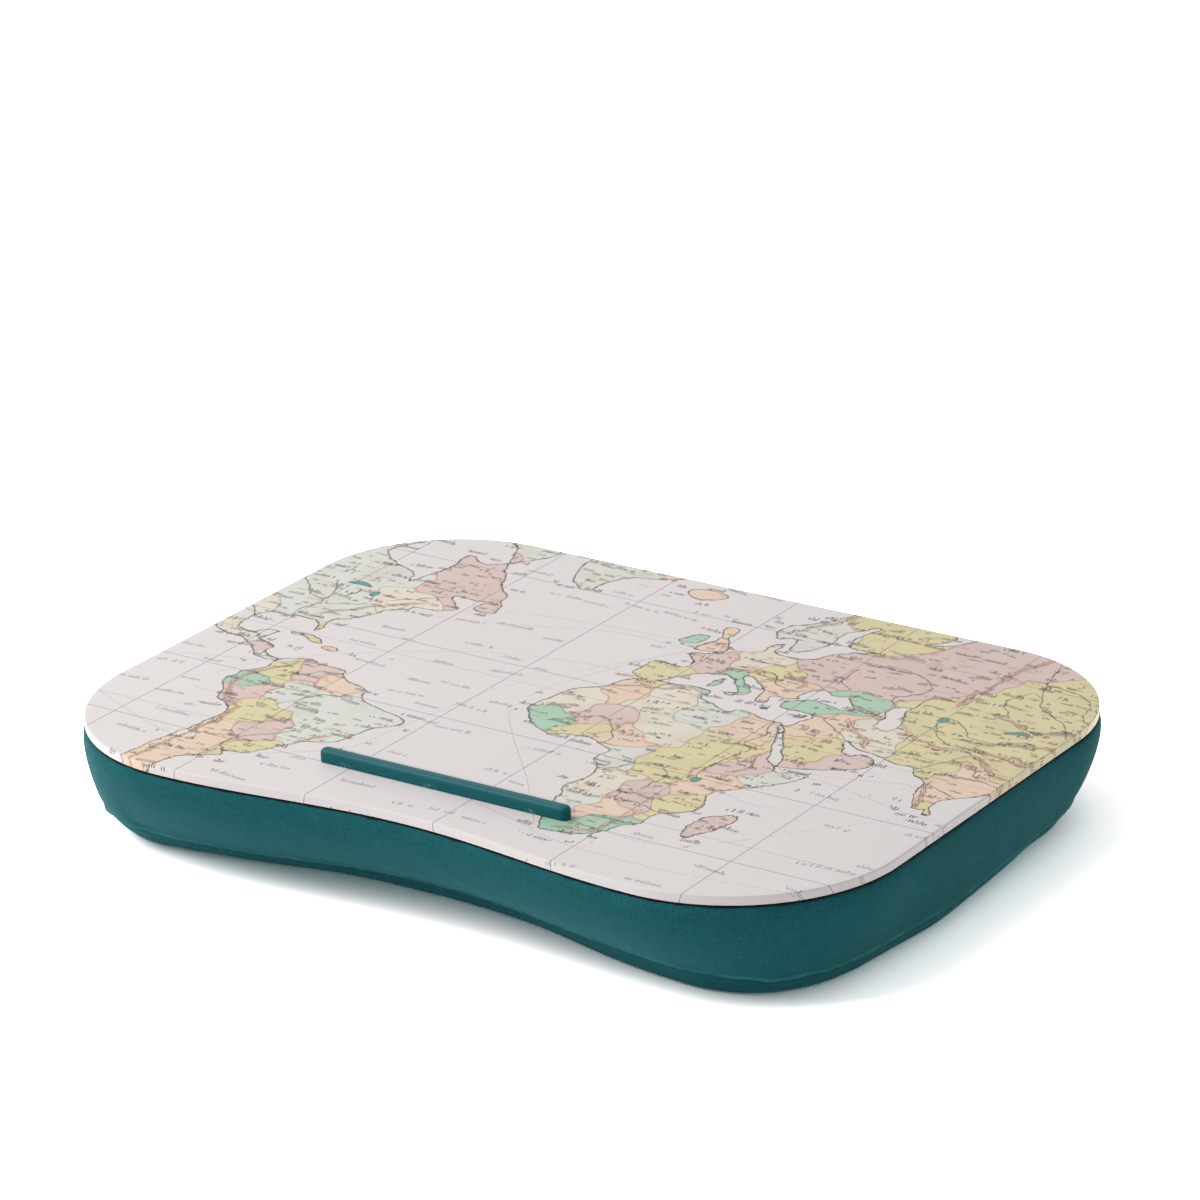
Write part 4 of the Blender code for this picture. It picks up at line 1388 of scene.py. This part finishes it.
def settled_move(coarse):
    """How far cloth pressed from inside moves a sheet of rings, as vectors.

    The sheet is closed above and below by one more ring and a fan. The move
    is capped softly: cap * tanh(length / cap), along its own way.
    """
    count = coarse.shape[1]
    lid = coarse[0] * [LID_SHARE, LID_SHARE, 1.0]
    sole = coarse[-1] * [SOLE_SHARE, SOLE_SHARE, 1.0]
    rings = np.concatenate([lid[None], coarse, sole[None]])
    bag = ringed_piece("settling", rings[::-1])
    held = bag.vertex_groups.new(name="held")
    points = mesh_points(bag)
    fixed = (points[:, 2] < HELD_WITHIN) | (points[:, 2] > BAND_TOP - HELD_WITHIN)
    held.add(np.flatnonzero(fixed).tolist(), 1.0, "REPLACE")
    cloth_change = bag.modifiers.new("cloth", "CLOTH")
    cloth = cloth_change.settings
    for name, setting in SIM_CLOTH.items():
        setattr(cloth, name, setting)
    cloth.vertex_group_mass = held.name
    cloth.effector_weights.gravity = 0.0
    cloth_change.collision_settings.use_collision = False
    scene = bpy.context.scene
    for frame_number in range(1, SIM_FRAMES + 1):
        scene.frame_set(frame_number)
    seen = bag.evaluated_get(bpy.context.evaluated_depsgraph_get())
    after = np.empty(len(points) * 3, np.float32)
    seen.data.vertices.foreach_get("co", after)
    move = after.reshape(-1, 3) - points
    scene.frame_set(1)
    bpy.data.objects.remove(bag, do_unlink=True)
    length = np.linalg.norm(move, axis=1, keepdims=True)
    print("cloth moved up to", round(float(length.max()) * 1000, 2), "mm before the cap")
    move *= SIM_CAP * np.tanh(length / SIM_CAP) / np.maximum(length, 1e-9)
    return move[: len(rings) * count].reshape(len(rings), count, 3)[::-1][1:-1]


def spread_back(move, run, rows):
    """A coarse grid of vectors read at every point of the fine grid.

    The run down the section is given for every fine row, and rows are the
    numbers of those that the coarse grid has.
    """
    round_at = np.arange(ROUND_COUNT) / SIM_EVERY
    low_step = np.floor(round_at).astype(int)
    part = (round_at - low_step)[None, :, None]
    coarse = move.shape[1]
    wide = move[:, low_step % coarse] * (1 - part) + move[:, (low_step + 1) % coarse] * part
    low_row = np.clip(np.searchsorted(run[rows], run, side="right") - 1, 0, len(rows) - 2)
    start, end = run[rows][low_row], run[rows][low_row + 1]
    part = ((run - start) / (end - start))[:, None, None]
    return wide[low_row] * (1 - part) + wide[low_row + 1] * part


section_step = np.linalg.norm(np.diff(skin, axis=0), axis=2)
section_run = np.concatenate([np.zeros((1, ROUND_COUNT)), np.cumsum(section_step, 0)])
mean_run = section_run.mean(1)
sim_rows = np.searchsorted(mean_run, np.arange(0.0, mean_run[-2], SIM_SPACING))
sim_rows = np.append(np.unique(sim_rows), len(skin) - 1)
swell = spread_back(settled_move(skin[sim_rows][:, ::SIM_EVERY]), mean_run, sim_rows)
print("settled", round(float(np.linalg.norm(swell, axis=2).max()) * 1000, 2), "mm at most")

# %% [markdown]
# ## Seam and folds
# Up close the wall isn't smooth. The turned-in edges make a firm welt just
# above the lower seam, the seam itself is a groove, and the thread gathers
# the cloth into small puckers that fade out within a finger's width. Long
# shallow waves run along the wall, and where the seam turns a corner it has
# pulled a small dent into the cloth. All of it is one sum of sines and bells
# of the way round the tray and the way up from the seam.

# %% Relief of the cover
WELT_ABOVE = 0.0018
WELT_WIDTH = 0.0011
WELT_HEIGHT = 0.00085
GROOVE_WIDTH = 0.0008
GROOVE_DEPTH = 0.0009
WAVE_HEIGHT = 0.00030
PUCKER_HEIGHT = 0.00026
PUCKER_FADE = 0.006
DENT_DEPTH = 0.0011
DENT_LENGTH = 0.0055
DENT_WIDTH = 0.0035
DENT_DEGREES = (214.0, 231.0, 308.0, 329.0, 42.0, 138.0)
FLAT_ZONE = 0.002


def bell(distance, width):
    """exp(-(distance / width) squared)."""
    return np.exp(-((distance / width) ** 2))


def waves_round(counts, phases):
    """The mean of sines that close round the tray, one for each count."""
    turns = rim_run * 2 * np.pi / rim_length
    return sum(np.sin(count * turns + phase) / len(counts) for count, phase in zip(counts, phases))


above = section_run[SIDE_ROWS] - section_run
relief = WELT_HEIGHT * bell(above - WELT_ABOVE, WELT_WIDTH)
relief -= GROOVE_DEPTH * bell(above, GROOVE_WIDTH)
long_waves = waves_round((23, 31, 41, 52), (0.3, 1.9, 4.0, 5.1))
slow_waves = waves_round((9, 13, 17), (2.2, 0.7, 3.5))
puckers = waves_round((97, 131, 163, 211), (1.1, 2.7, 0.2, 4.4))
wall_share = np.clip(section_run / section_run[SIDE_ROWS], 0.0, 1.0)
middle = np.sin(np.pi * wall_share) ** 0.8
relief += WAVE_HEIGHT * middle * (slow_waves + long_waves * wall_share)
relief += PUCKER_HEIGHT * puckers * np.exp(-np.abs(above) / PUCKER_FADE)
for degrees in DENT_DEGREES:
    facing = outward @ [math.cos(math.radians(degrees)), math.sin(math.radians(degrees))]
    from_dent = np.abs(rim_run - rim_run[facing.argmax()])
    from_dent = np.minimum(from_dent, rim_length - from_dent)
    relief -= DENT_DEPTH * bell(from_dent, DENT_LENGTH) * bell(above, DENT_WIDTH)
off_floor = np.clip(skin[..., 2] / FLAT_ZONE, 0.0, 1.0)
relief *= off_floor
smooth = skin + swell * off_floor[..., None]
cover = smooth + out * relief[..., None]
cover[..., 2] = np.clip(cover[..., 2], 0.0, BAND_TOP)
cover_out = ways_out(cover)
print("relief from", round(float(relief.min()) * 1000, 2), "to", round(float(relief.max()) * 1000, 2), "mm")

# %% [markdown]
# ## Two cloth pieces
# The cover is two pieces of cloth, sewn together at the groove. The band
# turns in under the board and again inside the base, and both turned edges
# are hidden. Each piece goes out along its face and comes back along its inner
# side, a cloth's thickness in. The inner side never shows, so it is smooth,
# and the band's has fewer rows.

# %% Side band
CLOTH = 0.0008
GAP = 0.0003
ALLOWANCE = 0.007
LIP = 0.0006
LIP_STEP = 0.0015
LIP_DROP = 0.00005
INNER_EVERY = 4
CLOTH_SHARP_DEGREES = 60.0


def rows_within(sheet, ways, depth, run):
    """The rows of a sheet's first stretch, up to a run, moved inwards."""
    step = np.linalg.norm(np.diff(sheet, axis=0), axis=2).mean(1)
    rows = int(np.searchsorted(np.cumsum(step), run)) + 2
    return list((sheet - ways * depth)[:rows])


smooth_base = smooth[SIDE_ROWS:]
base_out = out[SIDE_ROWS:]
wall_outer = list(cover[1 : SIDE_ROWS + 1])
wall_inner = list((smooth - out * CLOTH)[INNER_EVERY : SIDE_ROWS - 1 : INNER_EVERY])
turned_outer = rows_within(smooth_base, base_out, CLOTH + GAP, ALLOWANCE)
turned_inner = rows_within(smooth_base, base_out, 2 * CLOTH + GAP, ALLOWANCE)
lip = [ring(ALLOWANCE, BAND_TOP), ring(LIP_STEP, BAND_TOP), ring(LIP / 2, BAND_TOP - LIP_DROP)]
lip_inner = [ring(CLOTH + LIP / 2, BAND_TOP - CLOTH), ring(ALLOWANCE, BAND_TOP - CLOTH)]
band_section = lip + wall_outer + turned_outer + turned_inner[::-1] + wall_inner[::-1] + lip_inner
band_rings = np.array(band_section[::-1])
band = ringed_piece("side_band_cloth", band_rings, closed=True, sharp_degrees=CLOTH_SHARP_DEGREES)
print("band rows", len(band_rings))

# %% [markdown]
# The bottom panel starts in the groove, follows the turn to the flat and
# closes across it. Its inner side is one cloth's thickness above.

# %% Bottom panel
SOLE_SHARES = np.linspace(1.0, 0.0, 32)[1:-1]

sole_outer = list(cover[SIDE_ROWS:])
sole_outer[0] = sole_outer[0] - cover_out[SIDE_ROWS] * GAP - [0.0, 0.0, GAP]
sole_outer += shrunk(sole_outer[-1], SOLE_SHARES)
sole_inner = list((smooth_base - base_out * CLOTH)[1:-1])
flat_inner = ring(base_inset[-1], 0.0) + [0.0, 0.0, CLOTH]
sole_inner += [flat_inner] + shrunk(flat_inner, SOLE_SHARES)
sole_rings = sole_outer[::-1] + sole_inner
sole = ringed_piece("bottom_panel_cloth", sole_rings, sharp_degrees=CLOTH_SHARP_DEGREES)
print("bottom panel", len(sole.data.vertices), "points")

# %% [markdown]
# A weave follows the cloth and not the room, so it needs coordinates on the
# cloth itself: a UV map in metres, with one axis round the tray and the other
# down the wall. On the bottom panel the cloth is one flat cut, so its map is
# the plan view, stretched outwards where the cloth turns up.

# %% Coordinates on the cloth
SOLE_STRETCH = 0.03

band_step = np.linalg.norm(np.diff(band_rings, axis=0), axis=2).mean(1)
band_run = np.concatenate([[0.0], np.cumsum(band_step)])
round_run = np.tile(rim_run, len(band_rings))
map_points(band, "cloth", round_run, np.repeat(band_run, ROUND_COUNT), whole=rim_length)
sole_points = mesh_points(sole)
stretch = 1 + np.clip(sole_points[:, 2], 0.0, SEAM_HEIGHT) * SOLE_STRETCH / SEAM_HEIGHT
map_points(sole, "cloth", sole_points[:, 0] * stretch, sole_points[:, 1] * stretch)
print("band's section", round(float(band_run[-1]) * 1000), "mm of cloth, there and back")

# %% [markdown]
# ## Teal cloth
# The cover is a fine plain weave with a soft sheen. Its threads are about
# half a millimetre apart. The weave's height is (1 + sin(pi u / thread) *
# sin(pi v / thread)) / 2, and long thin noise along each axis gives single
# threads their own shade, as slubs do. A strip on the welt just above the
# seam is painted paler, as a painted highlight.

# %% Teal cloth
THREAD = 0.00052
SLUB = 0.016
WEAVE_DEPTH = 0.00007
# A paler strip on the welt above the seam is a painted highlight.
HIGHLIGHT_ABOVE = 0.0027
HIGHLIGHT_WIDTH = 0.0009
HIGHLIGHT_TEAL = paint(72, 150, 153)
TEAL_DEEP = paint(18, 82, 88)
TEAL_LIGHT = paint(38, 115, 120)
TEAL_ROUGHNESS = 0.82

# Where the painted highlight lies: a bell just above the seam.
seam_highlight = np.zeros((len(band_section), ROUND_COUNT))
seam_highlight[len(lip) : len(lip) + SIDE_ROWS] = bell(above[1 : SIDE_ROWS + 1] - HIGHLIGHT_ABOVE, HIGHLIGHT_WIDTH)
keep_number(band, "seam_highlight", seam_highlight[::-1].ravel())

woven = Look(
    "teal_cloth", TEAL_ROUGHNESS, sheen_weight=0.02, sheen_roughness=0.4, specular_ior_level=0.1
)
cloth_u, cloth_v, _ = woven.axes(woven.node("ShaderNodeUVMap", {"uv_map": "cloth"}))
turn_u = (cloth_u * (math.pi / THREAD)).sine()
turn_v = (cloth_v * (math.pi / THREAD)).sine()
weave = turn_u * turn_v * 0.5 + 0.5
warp = woven.noise(woven.vector(cloth_u / THREAD, cloth_v / SLUB), 1.0, 1.0)
weft = woven.noise(woven.vector(cloth_u / SLUB, cloth_v / THREAD, 7.0), 1.0, 1.0)
slubs = warp * 0.5 + weft * 0.5
mottle = woven.noise(woven.vector(cloth_u, cloth_v), 0.011, 3.0)
grain = woven.noise(woven.vector(cloth_u, cloth_v, 3.0), 0.0013, 3.0, 0.7)
tone = (weave * 0.25 + slubs * 0.9 + mottle * 0.6 + grain * 1.3 - 1.16).most(0.0).least(1.0)
# The painted highlight, broken up by the cloth's mottle and grain.
painted_highlight = woven.attribute("seam_highlight") * (mottle + grain * 0.7 - 0.30).most(0.0).least(1.0)
woven.colour(woven.mix(painted_highlight, woven.mix(tone, TEAL_DEEP, TEAL_LIGHT), HIGHLIGHT_TEAL))
woven.rough(mottle * 0.16 + (TEAL_ROUGHNESS - 0.08))
woven.relief(weave * 0.6 + slubs * 0.4, WEAVE_DEPTH, 0.7)
for piece, node in ((band, "side_band"), (sole, "bottom_panel")):
    piece.data.materials.append(woven.material)
    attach(piece, "root")
    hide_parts(node)
print("cover of cloth", round(1000 * THREAD, 2), "mm from thread to thread")

# %% [markdown]
# ## Black panel under the board
# A black cloth closes the cushion's top and is glued under the board. Only
# its edge shows, as a dark line that wavers a little, so its outline gets
# the wobble of a cut made by hand. That line is partly the cloth's own black
# and partly painted shade: the edge reaches out to the board's rim and is
# made very dark, so that it stands in for the shade of the gap there too.

# %% Black panel
PANEL_INSET = 0.0001
PANEL_WOBBLE = 0.000504
PANEL_SHARES = np.arange(1, 12) / 12

panel_low, panel_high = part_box("cushion_top_panel")
wobble = PANEL_INSET + PANEL_WOBBLE * waves_round((37, 58, 89, 121), (0.8, 3.3, 5.0, 1.4))
panel = flat_piece("top_panel_cloth", wobble, panel_low.z, panel_high.z, PANEL_SHARES)
felted = Look("black_cloth", roughness=0.95, specular_ior_level=0.1)
spot = felted.place()
fibres = felted.noise(spot, 0.0007, 4.0, 0.7)
# Very dark: the edge is partly the cloth's black and partly painted shade of the gap under the board.
felted.colour(felted.mix(fibres, paint(8, 8, 9), paint(26, 26, 28)))
felted.rough(fibres * 0.12 + 0.86)
felted.relief(fibres, 0.00012, 0.8)
panel.data.materials.append(felted.material)
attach(panel, "root")
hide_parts("cushion_top_panel")
print("panel edge from", round(1000 * wobble.min(), 2), "to", round(1000 * wobble.max(), 2), "mm in")

# %% [markdown]
# ## What fills the cushion
# Under the cover lies a bag of thin white cloth, made of a flat upper sheet
# and a deep lower one, and the beads in it. None of it shows from outside,
# but the model can be taken apart, so each is made with its own finish.

# %% Bag sheets
BAG_IN = 0.0022
BAG_CLOTH = 0.0004
RIM_CLEARANCE = 0.001
UPPER_SHARES = (0.4, 0.8)
LOWER_SHARES = (0.25, 0.5, 0.75)

upper_low, upper_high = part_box("inner_bag_upper")
BAG_RIM = upper_low.z - GAP


def inner_rows(depth):
    """Every other row of the skin's section moved inwards, below the bag's rim.

    The first row is set at the rim and the last one at its depth above the
    floor.
    """
    moved = skin - out * depth
    rows = [row for row in moved if row[:, 2].max() < BAG_RIM - RIM_CLEARANCE]
    start = moved[1].copy()
    start[:, 2] = BAG_RIM
    rows = [start] + rows[:-1:2] + rows[-1:]
    rows[-1][:, 2] = depth
    return rows


bag_upper = flat_piece("bag_upper_sheet", CLOTH + GAP, upper_low.z, upper_high.z, UPPER_SHARES)
bag_outer = inner_rows(BAG_IN)
bag_inner = inner_rows(BAG_IN + BAG_CLOTH)
bag_rings = shrunk(bag_outer[-1], LOWER_SHARES) + bag_outer[::-1]
bag_rings += bag_inner + shrunk(bag_inner[-1], LOWER_SHARES[::-1])
bag_lower = ringed_piece("bag_lower_sheet", bag_rings)
lining = Look("bag_cloth", roughness=0.9)
spot = lining.place()
web = lining.noise(spot, 0.0012, 4.0, 0.65)
lining.colour(lining.mix(web, paint(212, 212, 208), paint(232, 232, 229)))
lining.rough(web * 0.1 + 0.84)
lining.relief(web, 0.0001, 0.8)
for piece, node in ((bag_upper, "inner_bag_upper"), (bag_lower, "inner_bag_lower")):
    piece.data.materials.append(lining.material)
    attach(piece, "root")
    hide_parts(node)
print("bag rows", len(bag_rings))

# %% [markdown]
# The beads are one mass. A Voronoi pattern makes its surface one of packed
# little balls, greyer in the gaps between them as painted shade.

# %% Bead mass
BEAD = 0.0034
BEAD_RELIEF = 0.0012

bead_rows = inner_rows(BAG_IN + BAG_CLOTH + GAP)
bead_rings = shrunk(bead_rows[-1], np.arange(1, 10) / 10) + bead_rows[::-1]
bead_rings += shrunk(bead_rows[0], np.arange(1, 20)[::-1] / 20)
beads = ringed_piece("bead_mass", bead_rings)
foam = Look("foam_beads", roughness=0.7)
spot = foam.place()
sockets = {"Vector": spot, "Scale": 1.0 / BEAD, "Smoothness": 0.1}
packed = foam.node("ShaderNodeTexVoronoi", {"feature": "SMOOTH_F1"}, sockets)
round_bead = foam.ease(packed, 0.1, 0.7, 1.0, 0.0)
# Painted shade: grey in the gaps between the balls, white on their tops.
foam.colour(foam.mix(round_bead, paint(176, 176, 172), paint(240, 240, 237)))
foam.rough(round_bead * -0.2 + 0.8)
foam.relief(round_bead, BEAD_RELIEF, 1.0)
beads.data.materials.append(foam.material)
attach(beads, "root")
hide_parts("bead_fill")
print("bead mass", len(beads.data.vertices), "points")
